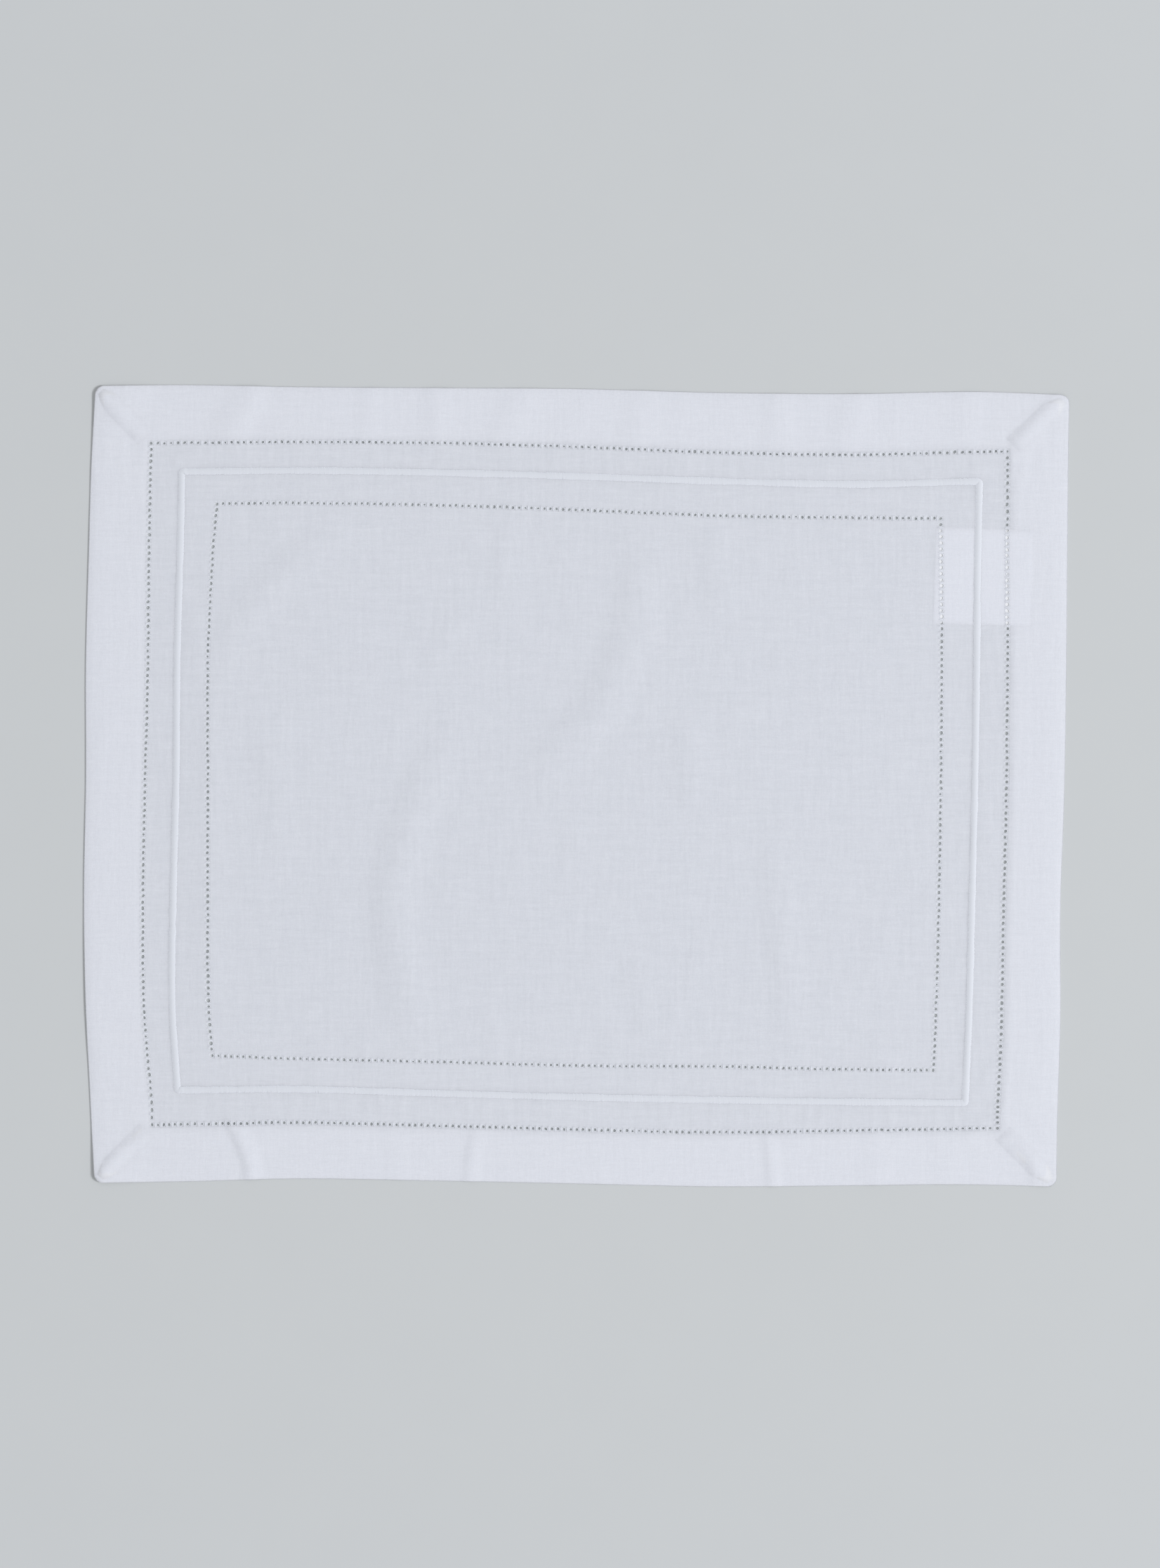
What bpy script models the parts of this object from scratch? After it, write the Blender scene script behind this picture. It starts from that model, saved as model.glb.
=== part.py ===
"""Hemstitched linen placemat, in the shape in which it lies on a table.

One sheet of sheer linen with a wide folded hem and two drawn-thread rows, a satin-stitched cord
sewn on between the rows, and a plain label under the right hem. Metres, +Z up, the long side along
X. The origin is the middle of the mat's outline, on the table.
"""

import math
from collections import namedtuple

import bmesh
import bpy
import numpy as np
from mathutils import Vector
from mathutils.bvhtree import BVHTree

MM = 0.001

# The mat as it was cut and ironed: full size, and how far in from its outline each sewn line runs.
WIDTH = 496 * MM
DEPTH = 404 * MM
HEM = 30 * MM
CORD_INSET = 45 * MM
INNER_ROW_INSET = 62 * MM
CORNER_RADIUS = 4.5 * MM

GROUND_THICKNESS = 1.2 * MM
HEM_THICKNESS = 1.8 * MM
ROW_THICKNESS = 1.0 * MM
ROW_HALF_WIDTH = 1.6 * MM
HEM_ROUNDING = 2.0 * MM

CORD_WIDTH = 3.6 * MM
CORD_HEIGHT = 1.0 * MM
CORD_CORNER_RADIUS = 1.8 * MM
CORD_CORNER_STEPS = 3
CLEARANCE = 0.3 * MM

LABEL_WIDTH = 49.5 * MM
LABEL_DEPTH = 49 * MM
LABEL_THICKNESS = 1.0 * MM
LABEL_CENTRE = (207.0 * MM, 106.5 * MM)
LABEL_TURN = -2.0
LABEL_MARGIN = 2.0 * MM
LABEL_SLOPE = 14.0 * MM

# The widest spacing of the cloth's grid across the centre field, along X and along Y.
FIELD_STEP_X = 8.5 * MM
FIELD_STEP_Y = 10 * MM
CLOSEST_LINES = 1.2 * MM

# The folds' crests are read at this many places between two points of their path, and no flank is
# narrower than the grid can show, in mm.
CREST_STEPS = 4
NARROWEST_FLANK = 6.0

# Where each side's four lines lie, in mm from the middle of the mat, at places along that side.
Station = namedtuple("Station", "along edge outer_row cord inner_row")
LEFT_SIDE = (
    Station(-200, -245.0, -214.0, -202.0, -183.0),
    Station(-165, -247.0, -216.0, -202.5, -183.5),
    Station(-115, -249.5, -220.0, -205.5, -187.0),
    Station(-60, -250.5, -220.5, -205.0, -187.5),
    Station(0, -249.5, -219.5, -203.5, -187.5),
    Station(60, -249.5, -218.0, -203.0, -187.5),
    Station(115, -248.0, -217.5, -201.5, -185.0),
    Station(165, -246.5, -216.5, -200.5, -181.5),
    Station(200, -244.5, -215.5, -200.5, -184.0),
)
RIGHT_SIDE = (
    Station(-200, 244.0, 213.5, 197.5, 180.0),
    Station(-165, 244.5, 214.0, 197.5, 180.5),
    Station(-115, 246.0, 216.0, 199.5, 182.5),
    Station(-60, 246.0, 217.0, 201.0, 184.0),
    Station(0, 248.0, 218.5, 202.5, 185.0),
    Station(60, 249.0, 219.0, 203.5, 185.5),
    Station(115, 249.5, 219.0, 204.0, 185.5),
    Station(165, 250.0, 219.0, 205.0, 184.5),
    Station(200, 250.5, 219.5, 205.5, 184.5),
)
FAR_SIDE = (
    Station(-245, 203.5, 174.0, 160.0, 143.5),
    Station(-205, 204.0, 174.5, 160.0, 143.5),
    Station(-145, 203.0, 175.0, 160.5, 144.0),
    Station(-75, 202.5, 174.5, 159.5, 143.0),
    Station(0, 202.0, 172.5, 157.5, 140.5),
    Station(75, 200.0, 169.5, 155.0, 137.5),
    Station(145, 199.5, 168.5, 153.5, 136.5),
    Station(205, 200.5, 170.0, 155.0, 136.0),
    Station(245, 199.0, 170.5, 155.5, 136.0),
)
NEAR_SIDE = (
    Station(-245, -201.5, -172.5, -154.5, -137.0),
    Station(-205, -201.0, -172.0, -154.5, -136.5),
    Station(-145, -199.5, -171.0, -154.0, -138.5),
    Station(-75, -200.5, -172.5, -156.0, -140.0),
    Station(0, -202.0, -174.5, -158.0, -142.0),
    Station(75, -203.5, -176.0, -159.5, -142.5),
    Station(145, -203.0, -175.0, -160.5, -144.0),
    Station(205, -202.5, -174.0, -161.0, -144.5),
    Station(245, -203.5, -173.5, -161.0, -144.5),
)

# Soft folds in which the cloth stands off the table: how wide each slopes off to the left and to the
# right of its crest, its height, and the crest's way towards the far side, in mm.
Fold = namedtuple("Fold", "left right height path")
FOLDS = (
    # the centre field's long wrinkles
    Fold(16, 17, 0.95, ((-30, -12), (-8, 18), (14, 44), (26, 70), (31, 100), (31, 136))),
    Fold(15, 16, 0.95, ((-73, -142), (-84, -115), (-92, -85), (-93, -52), (-87, -25), (-75, 5), (-48, 50))),
    Fold(13, 15, 0.70, ((-190, 48), (-178, 72), (-160, 96), (-138, 118), (-108, 136))),
    Fold(9, 13, 0.45, ((-38, 84), (-37, 110), (-38, 140))),
    Fold(10, 13, 0.50, ((75, 82), (71, 110), (66, 140))),
    Fold(10, 15, 0.45, ((57, -12), (58, 14), (50, 44))),
    Fold(11, 15, 0.55, ((105, -140), (107, -112), (104, -78), (101, -45), (101, -18))),
    Fold(11, 15, 0.35, ((-152, -44), (-154, 0), (-161, 52))),
    Fold(8, 10, 0.32, ((37, -142), (34, -112), (27, -82))),
    Fold(7, 9, 0.25, ((-43, -142), (-45, -108))),
    Fold(9, 14, 0.35, ((-186, -140), (-189, -60), (-188, 0), (-185, 62))),
    # the ripples of the far hem
    Fold(14, 10, 0.70, ((-180, 168), (-173, 184), (-166, 198), (-164, 212))),
    Fold(6, 12, 0.30, ((-109, 168), (-105, 212))),
    Fold(8, 12, 0.40, ((-73, 168), (-72, 212))),
    Fold(12, 14, 0.40, ((-43, 166), (-34, 186), (-20, 212))),
    Fold(10, 13, 0.35, ((30, 166), (31, 188), (37, 210))),
    Fold(9, 13, 0.45, ((101, 164), (102, 208))),
    Fold(9, 14, 0.42, ((134, 164), (138, 186), (144, 208))),
    Fold(9, 9, 0.35, ((200, 162), (199, 208))),
    # the pinched creases of the near hem
    Fold(3.2, 9, 0.85, ((-167, -212), (-167, -196), (-169, -187), (-174, -176), (-181, -164))),
    Fold(5, 9, 0.20, ((-92, -212), (-93, -168))),
    Fold(3.5, 8, 0.45, ((-56, -214), (-54.5, -192), (-51, -170))),
    Fold(3.5, 7, 0.45, ((99, -214), (98.5, -194), (96, -172))),
    Fold(8, 11, 0.22, ((148, -214), (153, -170))),
    Fold(8, 11, 0.20, ((189, -214), (186, -170))),
    # the mitred corners
    Fold(8, 8, 0.28, ((-212, 171), (-232, 189), (-252, 210))),
    Fold(4.5, 9, 0.45, ((216, 164), (226, 176), (233, 184.5), (241, 195), (256, 212))),
    Fold(3.5, 6, 0.34, ((-252, -212), (-242, -197.5), (-232.5, -186), (-223, -180), (-210, -170))),
    Fold(4, 7, 0.45, ((238, -214), (233, -199), (231, -189), (224, -180), (210, -166))),
)
# Corners that curl up from the table: where, how far in the curl reaches, and its height, in mm.
Curl = namedtuple("Curl", "x y reach height")
CURLS = (
    Curl(-247, 206, 42, 0.9),
    Curl(-248, -205, 36, 1.3),
)

LINEN = (0.79, 0.82, 0.89, 1.0)
SATIN_THREAD = (0.86, 0.88, 0.94, 1.0)
LABEL_TAPE = (0.88, 0.89, 0.93, 1.0)


def clear_scene():
    for obj in list(bpy.data.objects):
        bpy.data.objects.remove(obj, do_unlink=True)


def make_material(name, colour, roughness):
    material = bpy.data.materials.new(name)
    material.use_nodes = True
    shader = material.node_tree.nodes["Principled BSDF"]
    shader.inputs["Base Color"].default_value = colour
    shader.inputs["Roughness"].default_value = roughness
    shader.inputs["Metallic"].default_value = 0.0
    return material


def make_object(name, shape, material):
    """Turn a bmesh into a named object, outward faces and smooth shading included."""
    bmesh.ops.recalc_face_normals(shape, faces=shape.faces)
    mesh = bpy.data.meshes.new(name)
    shape.to_mesh(mesh)
    shape.free()
    mesh.shade_smooth()
    mesh.set_sharp_from_angle(angle=math.radians(50))
    mesh.materials.append(material)
    obj = bpy.data.objects.new(name, mesh)
    bpy.context.scene.collection.objects.link(obj)
    return obj


def smooth_curve(at, stations, values):
    """Read a smooth curve through the stations' values at the given places."""
    stations = np.asarray(stations, float)
    values = np.asarray(values, float)
    slopes = np.gradient(values, stations)
    at = np.clip(at, stations[0], stations[-1])
    k = np.clip(np.searchsorted(stations, at, side="right") - 1, 0, len(stations) - 2)
    gap = stations[k + 1] - stations[k]
    t = (at - stations[k]) / gap
    rise = values[k] * (1 + 2 * t) * (1 - t) ** 2 + values[k + 1] * t**2 * (3 - 2 * t)
    lean = slopes[k] * t * (1 - t) ** 2 - slopes[k + 1] * t**2 * (1 - t)
    return rise + lean * gap


def side_lines(side, at):
    """Where a side's edge, outer row, cord and inner row lie at a place along it, in metres."""
    along = [station.along * MM for station in side]
    lines = ("edge", "outer_row", "cord", "inner_row")
    return [smooth_curve(at, along, [getattr(s, line) * MM for s in side]) for line in lines]


def between_lines(flat, half, low_side, high_side, at):
    """Map a flat distance from the middle to the lying mat, line by line across it."""
    insets = (0.0, HEM, CORD_INSET, INNER_ROW_INSET)
    knots = [inset - half for inset in insets] + [half - inset for inset in reversed(insets)]
    places = side_lines(low_side, at) + side_lines(high_side, at)[::-1]
    return float(np.interp(flat, knots, [float(place) for place in places]))


def round_corner(u, v):
    """Draw the square corner of the flat mat in to its rounded outline."""
    s = max(0.0, 1 - (WIDTH / 2 - abs(u)) / CORNER_RADIUS)
    t = max(0.0, 1 - (DEPTH / 2 - abs(v)) / CORNER_RADIUS)
    if s == 0 or t == 0:
        return u, v
    across = WIDTH / 2 - CORNER_RADIUS * (1 - s * math.sqrt(1 - t * t / 2))
    along = DEPTH / 2 - CORNER_RADIUS * (1 - t * math.sqrt(1 - s * s / 2))
    return math.copysign(across, u), math.copysign(along, v)


def lay(u, v):
    """Where a point of the flat mat lies on the table."""
    u, v = round_corner(u, v)
    x = between_lines(u, WIDTH / 2, LEFT_SIDE, RIGHT_SIDE, v)
    y = between_lines(v, DEPTH / 2, NEAR_SIDE, FAR_SIDE, u)
    return x, y


def outline_middle():
    """The middle of the lying outline's box, which becomes the origin."""
    steps = 200
    us = [WIDTH * (i / steps - 0.5) for i in range(steps + 1)]
    vs = [DEPTH * (i / steps - 0.5) for i in range(steps + 1)]
    xs = [lay(side * WIDTH / 2, v)[0] for side in (-1, 1) for v in vs]
    ys = [lay(u, side * DEPTH / 2)[1] for side in (-1, 1) for u in us]
    return (min(xs) + max(xs)) / 2, (min(ys) + max(ys)) / 2


def hump(distance):
    """A soft bump of height 1 that is level with the table from a distance of 1 on."""
    return (1 - min(1.0, distance) ** 2) ** 2


def crest_points(fold):
    """Points along a fold's crest, read from a smooth curve through its path."""
    count = len(fold.path)
    at = np.linspace(0, count - 1, CREST_STEPS * (count - 1) + 1)
    return np.array([smooth_curve(at, range(count), places) * MM for places in zip(*fold.path)]).T


def fold_height(fold, crest, x, y):
    """How high a fold lifts the cloth at a place: full along its middle, level at its ends."""
    starts, runs = crest[:-1], np.diff(crest, axis=0)
    away = np.array((x, y)) - starts
    share = np.clip((away * runs).sum(axis=1) / (runs**2).sum(axis=1), 0, 1)
    off = away - share[:, None] * runs
    distances = np.hypot(off[:, 0], off[:, 1])
    nearest = int(distances.argmin())
    run, gap = runs[nearest], off[nearest]
    on_left = run[0] * gap[1] - run[1] * gap[0] > 0
    width = max(fold.left if on_left else fold.right, NARROWEST_FLANK)
    along = 2 * (nearest + share[nearest]) / len(runs) - 1
    return fold.height * MM * hump(along**2) * hump(distances[nearest] / (width * MM))


def curl_height(curl, x, y):
    """How high a curl lifts the cloth at a place: a straight slope, so that the rest lies level."""
    distance = math.hypot(x - curl.x * MM, y - curl.y * MM) / (curl.reach * MM)
    return curl.height * MM * max(0.0, 1 - distance)


CRESTS = [crest_points(fold) for fold in FOLDS]


def label_axes():
    turn = math.radians(LABEL_TURN)
    return Vector((math.cos(turn), math.sin(turn))), Vector((-math.sin(turn), math.cos(turn)))


def label_rise(x, y):
    """How far the label lifts the cloth that lies over it."""
    away = Vector((x, y)) - Vector(LABEL_CENTRE)
    along, across = label_axes()
    out_x = abs(away.dot(along)) - LABEL_WIDTH / 2 - LABEL_MARGIN
    out_y = abs(away.dot(across)) - LABEL_DEPTH / 2 - LABEL_MARGIN
    beyond = math.hypot(max(0.0, out_x), max(0.0, out_y))
    return (LABEL_THICKNESS + CLEARANCE) * hump(beyond / LABEL_SLOPE)


def lift(x, y):
    """The height of the cloth's underside over the table."""
    folds = sum(fold_height(fold, crest, x, y) for fold, crest in zip(FOLDS, CRESTS))
    curls = sum(curl_height(curl, x, y) for curl in CURLS)
    return folds + curls + label_rise(x, y)


def thickness(inset):
    """The cloth's thickness at a distance in from its outline: hem, drawn rows, single ground."""
    steps = (
        (0.0, HEM_THICKNESS / 2),
        (0.3 * HEM_ROUNDING, 0.86 * HEM_THICKNESS),
        (HEM_ROUNDING, HEM_THICKNESS),
        (HEM - ROW_HALF_WIDTH, HEM_THICKNESS),
        (HEM, ROW_THICKNESS),
        (HEM + ROW_HALF_WIDTH, GROUND_THICKNESS),
        (INNER_ROW_INSET - ROW_HALF_WIDTH, GROUND_THICKNESS),
        (INNER_ROW_INSET, ROW_THICKNESS),
        (INNER_ROW_INSET + ROW_HALF_WIDTH, GROUND_THICKNESS),
    )
    return float(np.interp(inset, *zip(*steps)))


def underside(inset):
    """How far the folded edge's rounding lifts the underside at a distance in from the outline."""
    steps = ((0.0, HEM_THICKNESS / 2), (0.3 * HEM_ROUNDING, 0.14 * HEM_THICKNESS), (HEM_ROUNDING, 0.0))
    return float(np.interp(inset, *zip(*steps)))


def grid_lines(half, field_step, label_low, label_high):
    """Grid lines across the mat: close at its sewn lines, wide over the field, and at the label."""
    insets = [0.0, 0.3 * HEM_ROUNDING, HEM_ROUNDING, CORNER_RADIUS, HEM / 2]
    for row in (HEM, INNER_ROW_INSET):
        insets += [row - ROW_HALF_WIDTH, row, row + ROW_HALF_WIDTH]
    insets.append(CORD_INSET)
    fixed = sorted([inset - half for inset in insets] + [half - inset for inset in insets])
    field = half - INNER_ROW_INSET - ROW_HALF_WIDTH
    count = math.ceil(2 * field / field_step)
    wanted = [field * (2 * i / count - 1) for i in range(1, count)]
    wanted += [label_low - LABEL_SLOPE, label_low, label_high, label_high + LABEL_SLOPE]
    lines = list(fixed)
    for line in wanted:
        if min(abs(line - other) for other in lines) > CLOSEST_LINES:
            lines.append(line)
    return sorted(lines)


def mat_grid():
    """The flat mat's grid lines along X and along Y."""
    margin = LABEL_MARGIN + 0.5 * MM
    half_width, half_depth = LABEL_WIDTH / 2 + margin, LABEL_DEPTH / 2 + margin
    x, y = LABEL_CENTRE
    us = grid_lines(WIDTH / 2, FIELD_STEP_X, x - half_width, x + half_width)
    vs = grid_lines(DEPTH / 2, FIELD_STEP_Y, y - half_depth, y + half_depth)
    return us, vs


def add_quads(shape, rows, turned):
    """Span faces between rows of vertices."""
    for low, high in zip(rows, rows[1:]):
        for a, b, c, d in zip(low, low[1:], high[1:], high):
            shape.faces.new((a, d, c, b) if turned else (a, b, c, d))


def build_cloth():
    """The linen sheet: a top and an underside that share the ring of vertices along the outline."""
    us, vs = mat_grid()
    shape = bmesh.new()
    top, bottom = [], []
    for v in vs:
        top_row, bottom_row = [], []
        for u in us:
            x, y = lay(u, v)
            inset = min(WIDTH / 2 - abs(u), DEPTH / 2 - abs(v))
            rise = lift(x, y)
            upper = shape.verts.new((x, y, rise + thickness(inset)))
            on_outline = inset < 0.01 * MM
            lower = upper if on_outline else shape.verts.new((x, y, rise + underside(inset)))
            top_row.append(upper)
            bottom_row.append(lower)
        top.append(top_row)
        bottom.append(bottom_row)
    add_quads(shape, top, turned=False)
    add_quads(shape, bottom, turned=True)
    bmesh.ops.triangulate(shape, faces=shape.faces, quad_method="SHORT_EDGE")
    return shape


def cord_route():
    """The cord's closed route in flat coordinates, with a point on every grid line it crosses."""
    us, vs = mat_grid()
    half_u, half_v, bend = WIDTH / 2 - CORD_INSET, DEPTH / 2 - CORD_INSET, CORD_CORNER_RADIUS
    along_u = [u for u in us if abs(u) < half_u - bend]
    along_v = [v for v in vs if abs(v) < half_v - bend]
    corner = [math.radians(90 * i / CORD_CORNER_STEPS) for i in range(CORD_CORNER_STEPS + 1)]

    def arc(sign_u, sign_v, start):
        cu, cv = sign_u * (half_u - bend), sign_v * (half_v - bend)
        return [(cu + bend * math.cos(start + a), cv + bend * math.sin(start + a)) for a in corner]

    route = [(half_u, v) for v in along_v] + arc(1, 1, 0)
    route += [(u, half_v) for u in reversed(along_u)] + arc(-1, 1, math.pi / 2)
    route += [(-half_u, v) for v in reversed(along_v)] + arc(-1, -1, math.pi)
    route += [(u, -half_v) for u in along_u] + arc(1, -1, 1.5 * math.pi)
    return route


def cloth_top(tree, x, y):
    """The height of the cloth's upper face at a place."""
    hit = tree.ray_cast(Vector((x, y, 0.1)), Vector((0, 0, -1)))
    return hit[0].z


def build_cord(cloth):
    """The satin-stitched cord: a half-round section carried round its route on the cloth."""
    tree = BVHTree.FromBMesh(cloth)
    half = CORD_WIDTH / 2
    crown = ((-0.62 * half, 0.74 * CORD_HEIGHT), (0.0, CORD_HEIGHT), (0.62 * half, 0.74 * CORD_HEIGHT))
    centres = [Vector(lay(u, v)) for u, v in cord_route()]
    shape = bmesh.new()
    rings = []
    for i, centre in enumerate(centres):
        ahead = (centres[(i + 1) % len(centres)] - centres[i - 1]).normalized()
        side = Vector((ahead.y, -ahead.x))
        edges = [centre - side * half, centre + side * half]
        base = max(cloth_top(tree, *place) for place in (*edges, centre)) + CLEARANCE
        section = [(-half, 0.0), *crown, (half, 0.0)]
        ring = [shape.verts.new((*(centre + side * across), base + up)) for across, up in section]
        rings.append(ring)
    for ring, following in zip(rings, rings[1:] + rings[:1]):
        for j in range(len(ring)):
            k = (j + 1) % len(ring)
            shape.faces.new((ring[j], ring[k], following[k], following[j]))
    return shape


def build_label():
    """The label: a plain flat rectangle on the table, under the cloth."""
    along, across = label_axes()
    centre = Vector(LABEL_CENTRE)
    shape = bmesh.new()
    corners = ((-1, -1), (1, -1), (1, 1), (-1, 1))
    places = [centre + along * (a * LABEL_WIDTH / 2) + across * (b * LABEL_DEPTH / 2) for a, b in corners]
    base = shape.faces.new([shape.verts.new((*place, 0.0)) for place in places])
    raised = bmesh.ops.extrude_face_region(shape, geom=[base])["geom"]
    upper = [item for item in raised if isinstance(item, bmesh.types.BMVert)]
    bmesh.ops.translate(shape, verts=upper, vec=(0, 0, LABEL_THICKNESS))
    return shape


def main():
    clear_scene()
    cloth = build_cloth()
    cord = build_cord(cloth)
    label = build_label()
    middle = outline_middle()
    for shape in (cloth, cord, label):
        bmesh.ops.translate(shape, verts=shape.verts, vec=(-middle[0], -middle[1], 0))
    make_object("mat_cloth", cloth, make_material("linen", LINEN, 0.85))
    make_object("satin_cord", cord, make_material("satin_thread", SATIN_THREAD, 0.55))
    make_object("care_label", label, make_material("label_tape", LABEL_TAPE, 0.7))


main()
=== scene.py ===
"""Dressed model of a hemstitched linen placemat that lies flat on a table.

The cloth is one thin sheet with real holes along its two drawn-thread rows and a hem folded under.
Bound threads edge the holes, a satin-stitched cord runs between the rows, and a plain label lies
under the right side. Metres, +Z up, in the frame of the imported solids.
"""

import logging
import math
from collections.abc import Sequence
from dataclasses import dataclass, field, replace
from enum import Enum
from functools import cached_property
from typing import NamedTuple

import bpy
import numpy as np
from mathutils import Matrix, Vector


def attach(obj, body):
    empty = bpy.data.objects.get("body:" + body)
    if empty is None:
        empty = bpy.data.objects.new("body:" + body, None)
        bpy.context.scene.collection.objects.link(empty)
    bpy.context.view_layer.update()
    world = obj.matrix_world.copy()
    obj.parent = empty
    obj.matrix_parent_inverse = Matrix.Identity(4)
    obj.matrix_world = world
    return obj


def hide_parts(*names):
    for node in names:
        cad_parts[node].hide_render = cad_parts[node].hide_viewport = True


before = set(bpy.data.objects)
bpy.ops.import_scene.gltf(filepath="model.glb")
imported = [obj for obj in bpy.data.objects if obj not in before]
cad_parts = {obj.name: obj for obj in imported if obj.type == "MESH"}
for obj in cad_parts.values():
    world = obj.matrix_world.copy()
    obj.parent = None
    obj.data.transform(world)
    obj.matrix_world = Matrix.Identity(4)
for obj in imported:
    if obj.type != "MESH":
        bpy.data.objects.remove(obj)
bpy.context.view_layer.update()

log = logging.getLogger("placemat")

MM = 0.001
BODY = "root"
UP = np.array((0.0, 0.0, 1.0))
SIN_45 = math.sqrt(0.5)
CREST_STEPS = 4

Array = np.ndarray
Socket = bpy.types.NodeSocket
Value = float | Socket
Colour = tuple[float, float, float]


class Station(NamedTuple):
    """Where a side's four lines lie at a place along it, in mm from the middle of the mat."""

    along: float
    edge: float
    outer_row: float
    cord: float
    inner_row: float


class Fold(NamedTuple):
    """A soft fold along a path, in mm: how wide it slopes off to the left and right, and its height.

    Left and right are as seen when going along the path.
    """

    left: float
    right: float
    height: float
    path: tuple[tuple[float, float], ...]


class Curl(NamedTuple):
    """A place at the edge that curls up: where, how far in the curl reaches, and its height, in mm."""

    x: float
    y: float
    reach: float
    height: float


class Side(Enum):
    """The four sides of the mat, each with its stations."""

    LEFT = (
        Station(-200, -245.0, -214.0, -202.0, -183.0),
        Station(-165, -247.0, -216.0, -202.5, -183.5),
        Station(-115, -249.5, -220.0, -205.5, -187.0),
        Station(-60, -250.5, -220.5, -205.0, -187.5),
        Station(0, -249.5, -219.5, -203.5, -187.5),
        Station(60, -249.5, -218.0, -203.0, -187.5),
        Station(115, -248.0, -217.5, -201.5, -185.0),
        Station(165, -246.5, -216.5, -200.5, -181.5),
        Station(200, -244.5, -215.5, -200.5, -184.0),
    )
    RIGHT = (
        Station(-200, 244.0, 213.5, 197.5, 180.0),
        Station(-165, 244.5, 214.0, 197.5, 180.5),
        Station(-115, 246.0, 216.0, 199.5, 182.5),
        Station(-60, 246.0, 217.0, 201.0, 184.0),
        Station(0, 248.0, 218.5, 202.5, 185.0),
        Station(60, 249.0, 219.0, 203.5, 185.5),
        Station(115, 249.5, 219.0, 204.0, 185.5),
        Station(165, 250.0, 219.0, 205.0, 184.5),
        Station(200, 250.5, 219.5, 205.5, 184.5),
    )
    FAR = (
        Station(-245, 203.5, 174.0, 160.0, 143.5),
        Station(-205, 204.0, 174.5, 160.0, 143.5),
        Station(-145, 203.0, 175.0, 160.5, 144.0),
        Station(-75, 202.5, 174.5, 159.5, 143.0),
        Station(0, 202.0, 172.5, 157.5, 140.5),
        Station(75, 200.0, 169.5, 155.0, 137.5),
        Station(145, 199.5, 168.5, 153.5, 136.5),
        Station(205, 200.5, 170.0, 155.0, 136.0),
        Station(245, 199.0, 170.5, 155.5, 136.0),
    )
    NEAR = (
        Station(-245, -201.5, -172.5, -154.5, -137.0),
        Station(-205, -201.0, -172.0, -154.5, -136.5),
        Station(-145, -199.5, -171.0, -154.0, -138.5),
        Station(-75, -200.5, -172.5, -156.0, -140.0),
        Station(0, -202.0, -174.5, -158.0, -142.0),
        Station(75, -203.5, -176.0, -159.5, -142.5),
        Station(145, -203.0, -175.0, -160.5, -144.0),
        Station(205, -202.5, -174.0, -161.0, -144.5),
        Station(245, -203.5, -173.5, -161.0, -144.5),
    )


FOLDS = (
    # the centre field's long wrinkles
    Fold(16, 17, 0.95, ((-30, -12), (-8, 18), (14, 44), (26, 70), (31, 100), (31, 136))),
    Fold(15, 16, 0.95, ((-73, -142), (-84, -115), (-92, -85), (-93, -52), (-87, -25), (-75, 5), (-48, 50))),
    Fold(13, 15, 0.70, ((-190, 48), (-178, 72), (-160, 96), (-138, 118), (-108, 136))),
    Fold(9, 13, 0.45, ((-38, 84), (-37, 110), (-38, 140))),
    Fold(10, 13, 0.50, ((75, 82), (71, 110), (66, 140))),
    Fold(10, 15, 0.45, ((57, -12), (58, 14), (50, 44))),
    Fold(11, 15, 0.55, ((105, -140), (107, -112), (104, -78), (101, -45), (101, -18))),
    Fold(11, 15, 0.35, ((-152, -44), (-154, 0), (-161, 52))),
    Fold(8, 10, 0.32, ((37, -142), (34, -112), (27, -82))),
    Fold(7, 9, 0.25, ((-43, -142), (-45, -108))),
    Fold(9, 14, 0.35, ((-186, -140), (-189, -60), (-188, 0), (-185, 62))),
    # the ripples of the far hem
    Fold(14, 10, 0.70, ((-180, 168), (-173, 184), (-166, 198), (-164, 212))),
    Fold(6, 12, 0.30, ((-109, 168), (-105, 212))),
    Fold(8, 12, 0.40, ((-73, 168), (-72, 212))),
    Fold(12, 14, 0.40, ((-43, 166), (-34, 186), (-20, 212))),
    Fold(10, 13, 0.35, ((30, 166), (31, 188), (37, 210))),
    Fold(9, 13, 0.45, ((101, 164), (102, 208))),
    Fold(9, 14, 0.42, ((134, 164), (138, 186), (144, 208))),
    Fold(9, 9, 0.35, ((200, 162), (199, 208))),
    # the pinched creases of the near hem
    Fold(3.2, 9, 0.85, ((-167, -212), (-167, -196), (-169, -187), (-174, -176), (-181, -164))),
    Fold(5, 9, 0.20, ((-92, -212), (-93, -168))),
    Fold(3.5, 8, 0.45, ((-56, -214), (-54.5, -192), (-51, -170))),
    Fold(3.5, 7, 0.45, ((99, -214), (98.5, -194), (96, -172))),
    Fold(8, 11, 0.22, ((148, -214), (153, -170))),
    Fold(8, 11, 0.20, ((189, -214), (186, -170))),
    # the mitred corners
    Fold(8, 8, 0.28, ((-212, 171), (-232, 189), (-252, 210))),
    Fold(4.5, 9, 0.45, ((216, 164), (226, 176), (233, 184.5), (241, 195), (256, 212))),
    Fold(3.5, 6, 0.34, ((-252, -212), (-242, -197.5), (-232.5, -186), (-223, -180), (-210, -170))),
    Fold(4, 7, 0.45, ((238, -214), (233, -199), (231, -189), (224, -180), (210, -166))),
)
CURLS = (
    Curl(-247, 206, 42, 0.9),
    Curl(-248, -205, 36, 1.3),
    Curl(-252, -100, 48, 0.35),
    Curl(253, 202, 30, 0.3),
    Curl(248, -207, 30, 0.3),
)
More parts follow.
